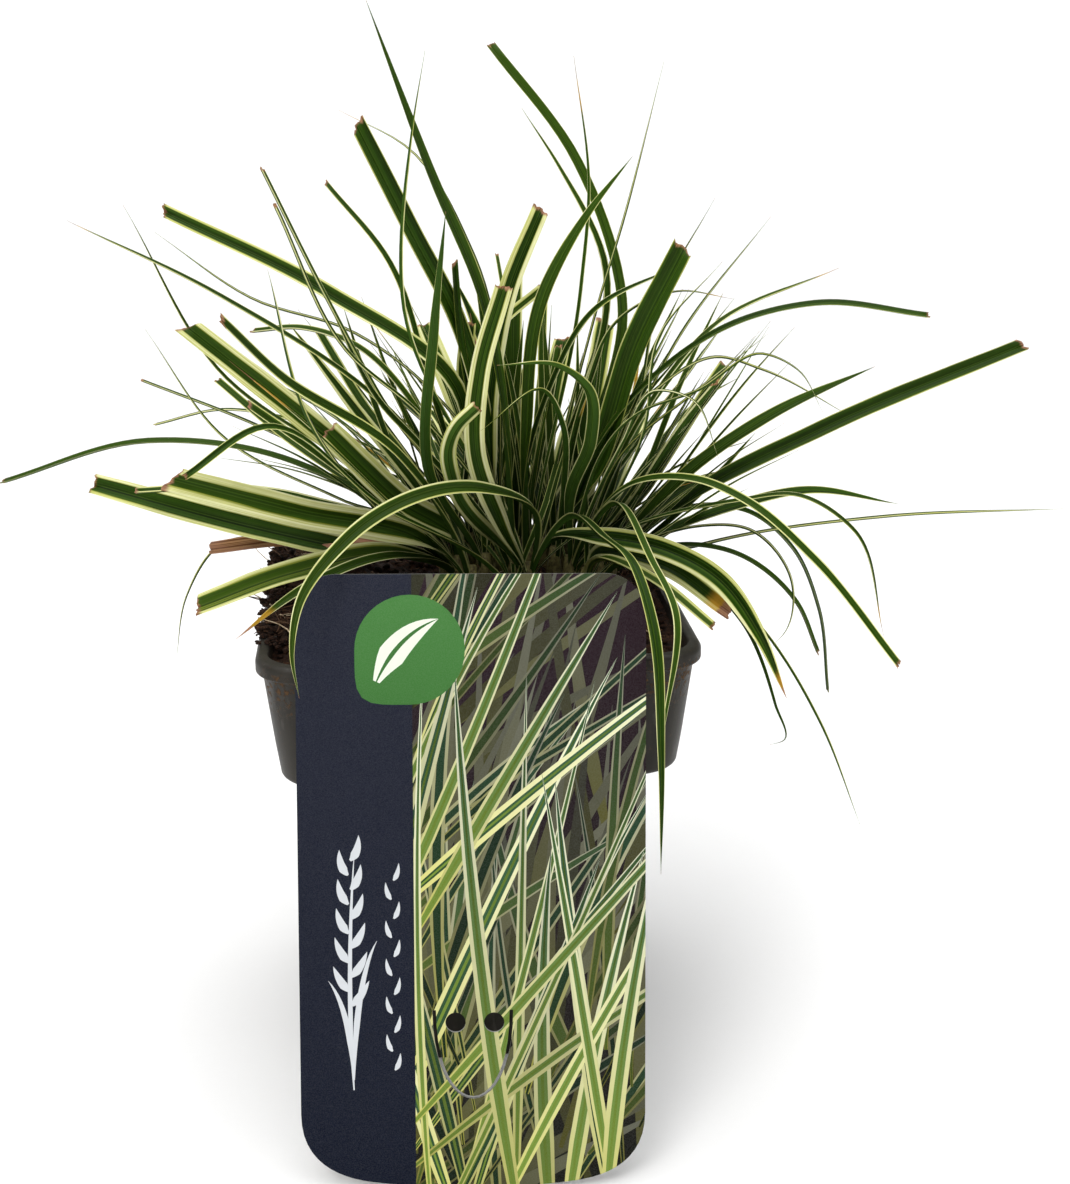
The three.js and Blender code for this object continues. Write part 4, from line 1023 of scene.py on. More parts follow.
def grow_listed(row, tillers, cells):
    """A listed leaf stands on the tiller nearest to the way it goes: low leaves on the outer tillers."""
    width, face, end, state, listed = row
    away = (listed[0][0] - CROWN[0], listed[0][1] - CROWN[1])
    flat = math.hypot(*away)
    lowness = flat / math.hypot(flat, listed[0][2])
    wanted = turned(
        CROWN[0] + away[0] / flat * CROWN_REACH[0] * 0.85 * lowness,
        CROWN[1] + away[1] / flat * CROWN_REACH[1] * 0.85 * lowness, CLUMP_TURN,
    )
    distances = [
        (math.hypot(tiller.x - wanted[0], tiller.y - wanted[1]), index)
        for index, tiller in enumerate(tillers) if len(tiller.leaves) < LEAVES_PER_TILLER
    ]
    order = sorted(distances)[:NEAREST]
    for may_cross in (False, True):
        for shift in SHIFTS:
            points = []
            for i, (x, y, z) in enumerate(listed):
                x, y = turned(x, y, CLUMP_TURN)
                k = (i + 1) / len(listed)
                lift = 0 if i else shift[3]
                points.append((x + shift[0] * k, y + shift[1] * k, RIM_HEIGHT + z + shift[2] * k + lift))
            for _, index in order:
                leaf = Leaf(width, face, end, points, tillers[index], state)
                if grow(leaf, tillers[index], index + 1, cells, may_cross):
                    return


def fill_leaf(tiller, random, tried=0.5):
    """Steep leaves in the middle of the clump and low, arching ones round it; a leaf that would head far to
    the front is turned to the back.
    """
    middle = turned(*CROWN, CLUMP_TURN)
    away = turned(tiller.x - middle[0], tiller.y - middle[1], -CLUMP_TURN)
    outness = clamp01(math.hypot(away[0] / CROWN_REACH[0], away[1] / CROWN_REACH[1]))
    spread = mix(*SPREAD, outness) * (2 * random() - 1)
    azimuth = math.atan2(away[1], away[0]) + math.radians(spread)
    if math.sin(azimuth) < -0.3:
        azimuth = -azimuth
    steep = mix(*RISE, outness) + RISE_PLAY * (2 * random() - 1)
    rise = math.radians(clamp01(steep / STEEPEST) * STEEPEST)
    thread = random() < THREAD_SHARE
    length = mix(*LENGTH, random()) * (THREAD_LONGER if thread else 1)
    droop = mix(*DROOP, random()) * math.cos(rise)
    bow = BOW * (2 * random() - 1)
    width = mix(*THREAD_WIDTH, random()) if thread else mix(*WIDTH, tried)
    face = mix(*FACE, random())
    end = "cut" if random() < CUT_SHARE else "point"
    heading = azimuth + math.radians(CLUMP_TURN)
    points = []
    for part in (0.4, 0.75, 1):
        flat = length * part * math.cos(rise)
        sideways = length * bow * part * part
        points.append((
            tiller.x + flat * math.cos(heading) - sideways * math.sin(heading),
            tiller.y + flat * math.sin(heading) + sideways * math.cos(heading),
            tiller.ground + length * (part * math.sin(rise) - droop * part * part),
        ))
    return Leaf(width, face, end, points, tiller)


def grow_clump():
    """Listed leaves first, then leaves by rule on every tiller that has room: the tillers with leaves."""
    cells = Cells()
    tillers = tiller_places()
    for index, tiller in enumerate(tillers):
        foot = []
        for rise in range(int(STEM_RISE / SAMPLE) + 1):
            for side in range(STEM_SIDES):
                dx, dy = turned(STEM_RADIUS, 0, 360 * side / STEM_SIDES)
                foot.append((tiller.x + dx, tiller.y + dy, tiller.ground + rise * SAMPLE))
        cells.enter(np.array(foot), index + 1)
    for row in LISTED:
        grow_listed(row, tillers, cells)
    for turn in range(LEAVES_PER_TILLER):
        for index, tiller in enumerate(tillers):
            if len(tiller.leaves) > turn:
                continue
            random = seeded(1000 * (index + 1) + turn)
            for attempt in range(FILL_TRIES):
                if grow(fill_leaf(tiller, random, attempt / FILL_TRIES), tiller, index + 1, cells, False):
                    break
    return [tiller for tiller in tillers if tiller.leaves]


# ---------------------------------------------------------------- blades

ACROSS = np.array((-1, -0.8, -0.55, -0.28, 0, 0.28, 0.55, 0.8, 1.0))
UPPER, UNDER, CUT, SHEATH = range(4)
# Where the cream margins start, as a share of the half width, by a leaf's state.
# Blades narrower than SLIM have narrower margins.
SLIM = 3.2
# Shape of a blade, as shares of its half width: crown of its flanks, groove over the midrib, waver.
CROWN_RISE = 0.10
GROOVE = 0.05
GROOVE_DEEPEST = 0.12
GROOVE_REACH = 0.12
WAVER = 0.05
EDGE_THINNING = 0.75
# How ragged and how slanting a cut end is.
RAGGED = 0.35
SLANT = 0.7
# Stations of a fuller leaf that a slender one follows, and how far its shoot's top may be off.
THREAD_STATIONS = [28, 50, 72]
BOX_PLAY = 6
MARGINS = {"fresh": (0.46, 0.74), "wide": (0.40, 0.50), "green": (0.84, 0.92)}


class Growth:
    """Collects the blades and sheaths of one shoot."""

    def __init__(self):
        self.points, self.faces, self.kinds = [], [], []
        self.layers = {"blade": [], "share": [], "kind": [], "wear": []}
        self.count = 0

    def add(self, points, faces, kinds, **layers):
        self.points.append(points)
        self.faces.extend((np.asarray(face) + self.count).tolist() for face in faces)
        self.kinds.extend(kinds)
        for name, values in self.layers.items():
            values.append(layers.get(name, np.zeros((len(points), 2))))
        self.count += len(points)


def add_blade(growth, leaf, leaves, random, thick=None):
    """A thin folded blade with a groove over the midrib, crowned flanks, and a ragged cut or a fine point."""
    every = 1 if leaf.segments == 9 else 2
    pick = slice(None, None, every)
    middle, side, upper, heads = leaf.middle[pick], leaf.side[pick], leaf.upper[pick], leaf.heads[pick]
    half, fold, t = leaf.half[pick].copy(), leaf.fold[pick], leaf.t[pick]
    rings = len(middle)
    half[-1] = max(half[-1], 0.04)
    wave = np.array([noise.noise(Vector((k * 9.0, leaf.length, leaf.width))) for k in t.tolist()])
    half *= 1 + WAVER * wave
    thick = (leaves.thickness / MM if thick is None else thick) / 2
    s = ACROSS[None, :]
    size = abs(s)
    out = s * (half * np.cos(fold))[:, None]
    rise = size * (half * np.sin(fold))[:, None] + CROWN_RISE * np.sin(math.pi * size) * half[:, None]
    rise -= np.minimum(GROOVE_DEEPEST, GROOVE * half)[:, None] * np.exp(-((size / GROOVE_REACH) ** 2))
    shell = thick * (1 - EDGE_THINNING * size ** 2) * np.minimum(1, half / 0.5)[:, None]
    base = middle[:, None] + side[:, None] * out[..., None] + upper[:, None] * rise[..., None]
    over = base + upper[:, None] * shell[..., None]
    under = (base - upper[:, None] * shell[..., None])[:, 1:-1]
    if leaf.end == "cut":
        slant = SLANT * (2 * random() - 1)
        jag = np.array([RAGGED * (2 * random() - 1) for _ in ACROSS]) + slant * ACROSS * half[-1]
        jag *= min(1.0, half[-1])
        shift = heads[-1][None] * jag[:, None]
        over[-1] += shift
        under[-1] += shift[1:-1]
    columns, lower = len(ACROSS), len(ACROSS) - 2
    ring_size = columns + lower
    points = np.concatenate((over, under), 1).reshape(-1, 3)
    faces, kinds = [], []
    wide = np.arange(columns)
    beneath = np.array([0, *range(columns, columns + lower), columns - 1])
    for ring in range(rings - 1):
        low, high = ring * ring_size, (ring + 1) * ring_size
        for i in range(columns - 1):
            a, b = wide[i], wide[i + 1]
            faces.append((low + a, high + a, high + b, low + b))
            kinds.append(UPPER)
            a, b = beneath[i], beneath[i + 1]
            faces.append((low + a, low + b, high + b, high + a))
            kinds.append(UNDER)
    tip = (rings - 1) * ring_size
    for i in range(columns - 1):
        a, b, c, d = wide[i], wide[i + 1], beneath[i + 1], beneath[i]
        cap = [a, b, c, d]
        cap = [v for k, v in enumerate(cap) if v not in cap[:k]]
        faces.append(tuple(tip + v for v in cap[::-1]))
        kinds.append(CUT)
    length = leaf.length
    shares = np.concatenate((ACROSS, ACROSS[1:-1]))
    across_mm = shares[None, :] * half[:, None] / 10
    along_mm = np.repeat((t * length / 100)[:, None], ring_size, 1)
    to_tip = np.repeat(((1 - t) * length / 100)[:, None], ring_size, 1)
    margin = mix(*MARGINS.get(leaf.state, MARGINS["fresh"]), random())
    if leaf.width < SLIM:
        margin = mix(margin, 1, 0.4)
    lot = random()
    draw = random()
    dry = mix(0.002, 0.006, draw)
    if leaf.state == "dry":
        dry = 3.0
    elif leaf.state == "tipped":
        dry = 0.024
    elif leaf.end == "point" and draw < 0.1:
        dry = mix(0.02, 0.08, draw / 0.1)
    pale = 0.6 * random()
    if leaf.state == "striped":
        pale = 0.95
    fill = np.ones(points.shape[0])
    growth.add(
        points, faces, kinds,
        blade=np.stack((across_mm.ravel(), along_mm.ravel()), 1),
        share=np.stack((np.tile(abs(shares), rings), to_tip.ravel()), 1),
        kind=np.stack((fill * margin, fill * lot), 1),
        wear=np.stack((fill * dry, fill * pale), 1),
    )


def round_tiller(tiller, radius, angle, rise):
    """A place round a tiller's foot."""
    return tiller.x + radius * math.cos(angle), tiller.y + radius * math.sin(angle), tiller.ground + rise


def add_sheath(growth, tiller, random):
    """The foot of a shoot: a ribbed sheath that tapers up into the leaves, with torn fibres round it."""
    sides, turn = 14, 2 * math.pi * random()
    # Height, and share of the stem's radius.
    rows = [(-6, 1.0), (-1, 1.04), (1, 1.0), (3, 0.94), (STEM_RISE, 0.82), (STEM_RISE + 2.5, 0.55)]
    points = []
    for rise, wide in rows:
        for i in range(sides):
            angle = turn + 2 * math.pi * i / sides
            radius = STEM_RADIUS * wide * (1 + 0.05 * (-1) ** i)
            points.append(round_tiller(tiller, radius, angle, rise))
    faces = ring_faces(len(rows), sides)
    faces.append(tuple(range((len(rows) - 1) * sides, len(rows) * sides)))
    growth.add(np.array(points), faces, [SHEATH] * len(faces))
    for _ in range(5):
        angle = 2 * math.pi * random()
        top = mix(2.5, 6.5, random())
        path = []
        for step in range(6):
            k = step / 5
            radius = STEM_RADIUS * (1.02 - 0.25 * k) + 0.9 * k * k
            swing = angle + 0.5 * k * (random() - 0.5)
            path.append(round_tiller(tiller, radius, swing, (top + 1) * k - 1))
        made, sides_of = tube(path, [mix(0.22, 0.06, i / 5) for i in range(6)], 3)
        growth.add(np.array(made), sides_of, [SHEATH] * len(sides_of))


def thread_leaves(tiller, random, leaves, growth):
    """Slender young and withered leaves."""
    for _ in range(leaves.threads):
        for _ in range(6):
            leaf = fill_leaf(tiller, random)
            width = mix(0.6, 1.9, random() ** 1.5)
            thin = Leaf(width, 20, "point", list(leaf.middle[THREAD_STATIONS]), tiller)
            low, high = leaf.middle.min(0), leaf.middle.max(0)
            box_low, box_high = (np.array(corner) / MM for corner in CAD_BOX)
            inside = (low > box_low + 1).all() and (high < box_high - 1).all()
            if inside and not touches_holder(thin.samples(), tiller):
                add_blade(growth, thin, leaves, random, 0.22)
                break


def grow_leaves(leaves):
    materials = [
        leaf_material("leaf_upper", leaves, True), leaf_material("leaf_under", leaves, False),
        fibrous_material("leaf_cut", leaves.dry_dark, leaves.dry_light, 2.5, 0.8),
        fibrous_material("leaf_sheath", leaves.sheath, leaves.sheath_light, 1.2, 0.65),
    ]
    shoots = grow_clump()
    nodes = sorted(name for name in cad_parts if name.startswith("tiller_"))
    if len(shoots) != len(nodes):
        raise RuntimeError(f"{len(shoots)} shoots for {len(nodes)} tillers")
    for number, (tiller, node) in enumerate(zip(shoots, nodes), 1):
        random = seeded(31 * number)
        growth = Growth()
        add_sheath(growth, tiller, random)
        for leaf in tiller.leaves:
            add_blade(growth, leaf, leaves, random)
        thread_leaves(tiller, random, leaves, growth)
        points = np.concatenate(growth.points)
        blades = np.concatenate([leaf.middle for leaf in tiller.leaves])
        high = np.array(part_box(node)[1]) / MM
        if (abs(blades.max(0) - high) > BOX_PLAY).any():
            raise RuntimeError(f"the leaves of shoot {number} don't stand where {node} does")
        make_piece(
            f"shoot_{number:02d}", points, growth.faces, materials, node, growth.kinds,
            {name: np.concatenate(values) for name, values in growth.layers.items()}, sharp=100,
        )


# ---------------------------------------------------------------- label

def bezier(points, steps):
    """Points along a cubic or quadratic curve, without its end."""
    found = []
    for step in range(steps):
        t = step / steps
        level = [np.array(point, float) for point in points]
        while len(level) > 1:
            level = [a + (b - a) * t for a, b in zip(level, level[1:])]
        found.append(tuple(level[0]))
    return found


def card_outline(inset=0.0):
    """The card: round top corners, straight sides and a bowed bottom edge."""
    half, top, corner, side, bow, rise = LABEL_WIDTH / 2, LABEL_LENGTH, 8, 15, 20, 1.3
    outline = [(half, side)]
    for middle, start in ((half - corner, 0), (corner - half, 90)):
        for step in range(13):
            angle = math.radians(start + 90 * step / 12)
            outline.append((middle + corner * math.cos(angle), top - corner + corner * math.sin(angle)))
    outline += bezier([(-half, side), (-half, side * 0.37), (-bow * 1.35, rise * 1.72), (-bow, rise)], 12)
    outline += bezier([(-bow, rise), (-bow * 0.35, -rise / 3), (bow * 0.35, -rise / 3), (bow, rise)], 12)
    outline += bezier([(bow, rise), (bow * 1.35, rise * 1.72), (half, side * 0.37), (half, side)], 12)
    if inset:
        middle = np.array((0, LABEL_LENGTH / 2))
        shrink = np.array((1 - inset / half, 1 - 2 * inset / LABEL_LENGTH))
        outline = [tuple(middle + (np.array(point) - middle) * shrink) for point in outline]
    return outline


def card_openings():
    """Two round holes and the slit round the tongue."""
    holes = [circle(side * 3.8 + 0.4, 33.5, 2, 28) for side in (-1, 1)]
    half, top, bottom, wide = 7.6, 36, 12.5, 0.35

    def arch(x, y):
        return bezier([(-x, top), (-x, y), (x, y), (x, top)], 20)
    outer, inner = arch(half + wide, bottom - wide), arch(wide - half, bottom + wide)
    return [*holes, [*outer, (half + wide, top), *inner, (-half + wide, top)]]


def blade_shape(root, bend, tip, width, inner=1.0):
    """A long leaf shape along a curve."""
    line = np.array([*bezier([root, bend, tip], 13), tip], float)
    heads = np.gradient(line, axis=0)
    heads /= np.sqrt((heads ** 2).sum(1))[:, None]
    t = np.linspace(0, 1, len(line))
    half = width / 2 * inner * np.minimum(1, 0.25 + 2.5 * t) * (1 - t ** 3) + 0.02
    normal = np.stack((-heads[:, 1], heads[:, 0]), 1)
    left, right = line + normal * half[:, None], line - normal * half[:, None]
    return [tuple(point) for point in (*left, *right[::-1])]


class Artwork:
    """Flat shapes in painting order, each with a colour that may change along it."""

    def __init__(self):
        self.shapes, self.paints, self.areas = [], [], []

    def add(self, shape, start, end=None, root=(0, 0), tip=(0, 1), area=None):
        self.shapes.append([tuple(map(float, point)) for point in shape])
        self.paints.append([np.array(part, float) for part in (start, end if end else start, root, tip)])
        self.areas.append(area)
        return len(self.shapes) - 1

    def colour(self, index, place):
        start, end, root, tip = self.paints[index]
        way = tip - root
        return start + (end - start) * clamp01(float((np.array(place) - root) @ way) / float(way @ way))


def printed_blade(art, label, area, root, bend, tip, width, depth, tone, random):
    """One striped blade: yellow-cream margins that pale towards the tip, and a green middle."""
    shades = (label.blade_yellow, label.blade_tip, label.blade_green, label.blade_light, label.blade_dark)
    yellow, white, green, light, dark = (tuple(part * tone for part in shade) for shade in shades)
    art.add(blade_shape(root, bend, tip, width), yellow, white, root, tip, area)
    middle = mix(0.40, 0.68, random())
    low, high = (dark, green) if random() < 0.55 else (light, green)
    if depth:
        art.add(blade_shape(root, bend, tip, width, middle), low, high, root, tip, area)
    if depth == 2:
        art.add(blade_shape(root, bend, tip, width, middle * 0.3), light, dark, root, tip, area)


def draw_label(label):
    """A dense sheaf of striped blades, a plain dark band with a sprig, and a leaf-shaped badge."""
    art = Artwork()
    half = LABEL_WIDTH / 2
    split = -11.4
    face = art.add(card_outline(), label.film)

    def strip(left, right, foot, top):
        low, high = -3, LABEL_LENGTH + 2
        corners = [(left, low), (right, low), (right, high), (left, high)]
        return art.add(corners, foot, top, (0, 0), (0, LABEL_LENGTH), face)
    # The band pales towards its top: a painted reflection in the glossy film.
    band = strip(-half, split, label.band, label.band_reflection_top)
    picture = strip(split, half, label.ground, label.ground_top)
    random = seeded(4242)
    layers = (
        # number of blades, tones, reach and width
        (label.blades * 5 // 4, (0.03, 0.14), (60, 120), (2.2, 4.2)),
        (label.blades, (0.12, 0.42), (60, 110), (1.4, 3.2)),
        (label.blades * 2 // 3, (0.5, 0.95), (75, 130), (1.6, 3.8)),
    )
    for depth, (count, tones, reaches, widths) in enumerate(layers):
        for _ in range(count):
            if random() < 0.45:
                foot = (mix(-26, -13, random()), mix(-14, 100, random()))
                lean = mix(14, 62, random())
            else:
                foot = (mix(-13, 34, random()), mix(-18, 70 - 40 * depth, random()))
                lean = mix(-24, 40, random())
            lean = math.radians(lean)
            reach = mix(*reaches, random())
            way = np.array((math.sin(lean), math.cos(lean)))
            tip = foot + reach * way
            bend = foot + reach / 2 * way + mix(-3, 9, random()) * np.array((-way[1], way[0]))
            width, tone = mix(*widths, random() ** 1.4), mix(*tones, random())
            printed_blade(art, label, picture, foot, bend, tip, width, depth, tone, random)
    add_badge(art, label, face)
    add_sprig(art, label, band)
    return art


def leaf_patch(x, y, radius, steps=40):
    """A round patch whose lower left quarter runs out to a corner, like a leaf."""
    shape = []
    for i in range(steps):
        angle = 2 * math.pi * i / steps
        power = 2.0 if not math.pi < angle < 1.5 * math.pi else 5.0
        c, s = math.cos(angle), math.sin(angle)
        size = (abs(c) ** power + abs(s) ** power) ** (-1 / power)
        shape.append((x + radius * size * c, y + radius * size * s))
    return shape


def add_badge(art, label, face):
    x, y, radius = -11.8, 107.3, 10.7
    art.add(leaf_patch(x, y, radius), label.badge, label.badge_top, (x, y - radius), (x, y + radius), face)
    root, tip = (x - 6.5, y - 6.2), (x + 5.6, y + 6.0)
    bend = (x - 2.4, y + 3.0)
    art.add(blade_shape(root, bend, tip, 5.4), label.badge_mark, area=face)
    art.add(blade_shape(root, bend, tip, 5.4, 0.16), label.badge, area=face)


def add_sprig(art, label, band):
    """A slim flowering spike of a sedge and a column of small leaves, in pale grey."""
    x, low, high = -23.5, 20, 68
    stalk = blade_shape((x, low), (x - 1.4, mix(low, high, 0.5)), (x + 0.6, high), 0.9)
    art.add(stalk, label.sprig, area=band)
    for i in range(11):
        y = mix(low + 17, high - 2, i / 10)
        side = -1 if i % 2 else 1
        root = (x - 0.5 + 0.2 * side, y)
        tip = (x - 0.4 + side * mix(3.6, 1.8, i / 10), y + 5)
        art.add(blade_shape(root, (root[0] + side * 1.8, y + 1.5), tip, 1.7), label.sprig, area=band)
    for side, reach in ((-1, 22), (1, 30)):
        root, tip = (x, low + 2), (x + side * 4.8, low + reach)
        art.add(blade_shape(root, (x + side * 0.6, low + reach * 0.75), tip, 1.2), label.sprig, area=band)
    for i in range(11):
        y, side = mix(24, 62, i / 10), -1 if i % 2 else 1
        root, tip = (-15.6 + 0.2 * side, y), (-15.6 + 1.3 * side, y + 3.4)
        art.add(blade_shape(root, (-15.6 + 1.2 * side, y + 1), tip, 1.0), label.sprig, area=band)


def on_label(x, up, out):
    """A place on the leaning label, in the pot's frame."""
    lean = math.radians(LABEL_LEAN)
    y = -LABEL_FOOT + up * math.sin(lean) - out * math.cos(lean)
    z = up * math.cos(lean) + out * math.sin(lean)
    x, y = turned(x, y, LABEL_TURN)
    return x + LABEL_X, y, z


def build_label(label):
    art = draw_label(label)
    openings = card_openings()
    flat, triangles, inside = planar_cut([*art.shapes, *openings])
    first_opening = len(art.shapes)
    kept, tops = [], []
    for triangle, shapes in zip(triangles, inside):
        if 0 not in shapes or max(shapes) >= first_opening:
            continue
        (ax, ay), (bx, by), (cx, cy) = (flat[i] for i in triangle)
        if (bx - ax) * (cy - ay) - (by - ay) * (cx - ax) < 0:
            triangle = triangle[::-1]
        kept.append(triangle)
        tops.append(max(s for s in shapes if art.areas[s] is None or art.areas[s] in shapes))
    count = len(flat)
    points = [on_label(x, y, LABEL_THICK) for x, y in flat] + [on_label(x, y, 0.0) for x, y in flat]
    faces = list(kept) + [(c + count, b + count, a + count) for a, b, c in kept]
    kinds = [0] * len(kept) + [1] * len(kept)
    for a, b in open_edges(kept):
        faces.append((b, a, a + count, b + count))
        kinds.append(2)
    materials = [
        print_material(label),
        plain_material("label_film", label.film, label.film_shade, 0.38, 0.3, 2.4),
        # The cut edge is grey as painted shade, darker than the white film it is cut from.
        plain_material("label_edge", label.edge, label.film_shade, 0.5, 0.1, 2.4),
    ]
    piece = make_piece("label_card", points, faces, materials, "plant_label", kinds, sharp=40)
    mesh = piece.data
    ink = mesh.color_attributes.new("ink", "FLOAT_COLOR", "CORNER")
    colours = np.ones((len(mesh.loops), 4), np.float32)
    for polygon, triangle, top in zip(mesh.polygons, kept, tops):
        for corner in polygon.loop_indices:
            place = flat[mesh.loops[corner].vertex_index]
            colours[corner, :3] = art.colour(top, place)
    ink.data.foreach_set("color", colours.ravel())


# ---------------------------------------------------------------- stage

CAMERA_PLACE = (-19.1, -337.8, 213.4)
CAMERA_PITCH = 18.6
CAMERA_HEADING = 5.7
PICTURE_HEIGHT = 1184
FOCAL_PIXELS = 1600
SENSOR = 36


def add_lamp(name, place, target, size, power, colour):
    lamp = bpy.data.lights.new(name, "AREA")
    lamp.shape, lamp.size, lamp.energy, lamp.color = "DISK", size, power, colour
    holder = bpy.data.objects.new(name, lamp)
    holder.location = place
    holder.rotation_euler = (Vector(target) - Vector(place)).to_track_quat("-Z", "Y").to_euler()
    bpy.context.scene.collection.objects.link(holder)


def build_stage(stage):
    """A pale round floor that sweeps up all round, soft lamps and the camera."""
    radius, sweep, sides = stage.floor_radius / MM, 400.0, 96
    profile = [(radius * k, 0.0) for k in (0.1, 0.25, 0.5, 0.75, 1.0)]
    for step in range(1, 13):
        angle = math.radians(90 * step / 12)
        profile.append((radius + sweep * math.sin(angle), sweep * (1 - math.cos(angle))))
    profile.append((radius + sweep, sweep + 100))
    points = [(0.0, 0.0, 0.0)]
    for reach, z in profile:
        points.extend((x, y, z) for x, y in circle(0, 0, reach, sides))
    faces = [(0, 1 + i, 1 + (i + 1) % sides) for i in range(sides)]
    faces += [(a, d, c, b) for a, b, c, d in ring_faces(len(profile), sides, 1)]
    mesh = bpy.data.meshes.new("studio_floor")
    mesh.from_pydata((np.array(points) * MM).tolist(), [], faces)
    mesh.materials.append(plain_material("studio_floor", stage.floor, stage.floor_shade, 0.75, 0.2, 0.6))
    mesh.shade_smooth()
    floor = bpy.data.objects.new("studio_floor", mesh)
    bpy.context.scene.collection.objects.link(floor)

    target = (0, 0, 0.12)
    add_lamp("key_lamp", (-0.5, -0.75, 1.1), target, 0.6, stage.key_power, (1, 0.99, 0.97))
    add_lamp("top_lamp", (0, 0.1, 1.5), target, 2.0, stage.top_power, (1, 1, 1))
    world = bpy.data.worlds.new("studio")
    world.use_nodes = True
    world.node_tree.nodes["Background"].inputs["Color"].default_value = (1, 1, 1, 1)
    world.node_tree.nodes["Background"].inputs["Strength"].default_value = stage.sky
    scene = bpy.context.scene
    scene.world = world
    scene.view_settings.view_transform = "Standard"

    camera = bpy.data.cameras.new("camera")
    camera.sensor_width = SENSOR
    camera.lens = FOCAL_PIXELS / PICTURE_HEIGHT * SENSOR
    camera.clip_start, camera.clip_end = 0.01, 20
    holder = bpy.data.objects.new("camera", camera)
    holder.location = [part * MM for part in CAMERA_PLACE]
    holder.rotation_euler = (math.radians(90 - CAMERA_PITCH), 0, math.radians(-CAMERA_HEADING))
    scene.collection.objects.link(holder)
    scene.camera = holder


# ---------------------------------------------------------------- settings

def colour_of(name, description, *screen):
    return FloatVectorProperty(
        name=name, description=description, subtype="COLOR", size=3, min=0, max=1, default=paint(*screen),
    )


def count_of(name, description, default, most, least=0):
    return IntProperty(name=name, description=description, default=default, min=least, max=most)


def length_of(name, description, default):
    return FloatProperty(
        name=name, description=description, default=default, min=0, unit="LENGTH", subtype="DISTANCE",
    )


def gloss_of(default):
    return FloatProperty(name="Gloss", description="Strength of the shine", default=default, min=0, max=1)


class SedgePotSettings(bpy.types.PropertyGroup):
    """The pot's finish."""
    gloss: gloss_of(0.14)
    colour: colour_of("Plastic", "Main colour of the pot", 40, 38, 33)
    colour_light: colour_of("Plastic, light", "Lighter flow marks in the plastic", 50, 47, 42)
    scuff: colour_of("Scuffs", "Pale rubbed marks", 128, 123, 116)
    dirt: colour_of("Dirt", "Dried peat on the wall", 92, 66, 40)


class SedgePeatSettings(bpy.types.PropertyGroup):
    """The peat and what lies on it."""
    crumbs: count_of("Crumbs", "Number of loose crumbs", 1100, 2400)
    spilled: count_of("Spilled crumbs", "Number of crumbs heaped on the lip at the left", 520, 1500)
    crumb_size: length_of("Crumb size", "Size of the largest crumbs", 0.0026)
    fibres: count_of("Fibres", "Number of peat fibres and rootlets", 520, 1500)
    dark: colour_of("Peat, dark", "Colour of damp peat", 24, 14, 8)
    light: colour_of("Peat, light", "Colour of drier peat", 68, 42, 27)
    fleck: colour_of("Flecks", "Pale flecks in the peat", 120, 92, 66)
    fibre: colour_of("Fibres", "Brown peat fibres", 52, 34, 24)
    fibre_light: colour_of("Fibres, light", "Lighter parts of the fibres", 104, 76, 54)
    rootlet: colour_of("Rootlets", "Pale rootlets", 150, 128, 100)
    rootlet_light: colour_of("Rootlets, light", "Lighter parts of the rootlets", 196, 178, 150)


class SedgeLeafSettings(bpy.types.PropertyGroup):
    """The leaves."""
    thickness: length_of("Thickness", "Thickness of a blade at its midrib", 0.0004)
    gloss: gloss_of(0.06)
    threads: count_of("Threads", "Slender leaves on each shoot", 4, 12)
    green_dark: colour_of("Green, dark", "Middle of the blade", 12, 31, 2)
    green_light: colour_of("Green, light", "Lighter parts of the middle", 40, 70, 8)
    green_streak: colour_of("Green streaks", "Fine pale streaks in the middle", 84, 110, 34)
    shade: colour_of("Shaded foot", "Dark lower part of the blades", 9, 22, 2)
    under: colour_of("Underside", "Greyer green of the underside", 58, 88, 32)
    cream: colour_of("Cream", "Margins of the blade", 192, 194, 106)
    cream_light: colour_of("Cream, light", "Palest parts of the margins", 234, 234, 182)
    cream_green: colour_of("Cream green", "Where the margin meets the middle", 132, 140, 48)
    turning: colour_of("Turning", "Yellowed part behind a dry tip", 206, 152, 48)
    dry_dark: colour_of("Dry, dark", "Dark parts of dry tips", 92, 56, 32)
    dry_pink: colour_of("Dry, pink", "Pinkish parts of dry tips", 168, 124, 108)
    dry_light: colour_of("Dry, light", "Light parts of dry tips", 176, 134, 92)
    sheath: colour_of("Sheath", "Foot of a shoot", 58, 50, 24)
    sheath_light: colour_of("Sheath, light", "Lighter foot of a shoot", 104, 100, 58)


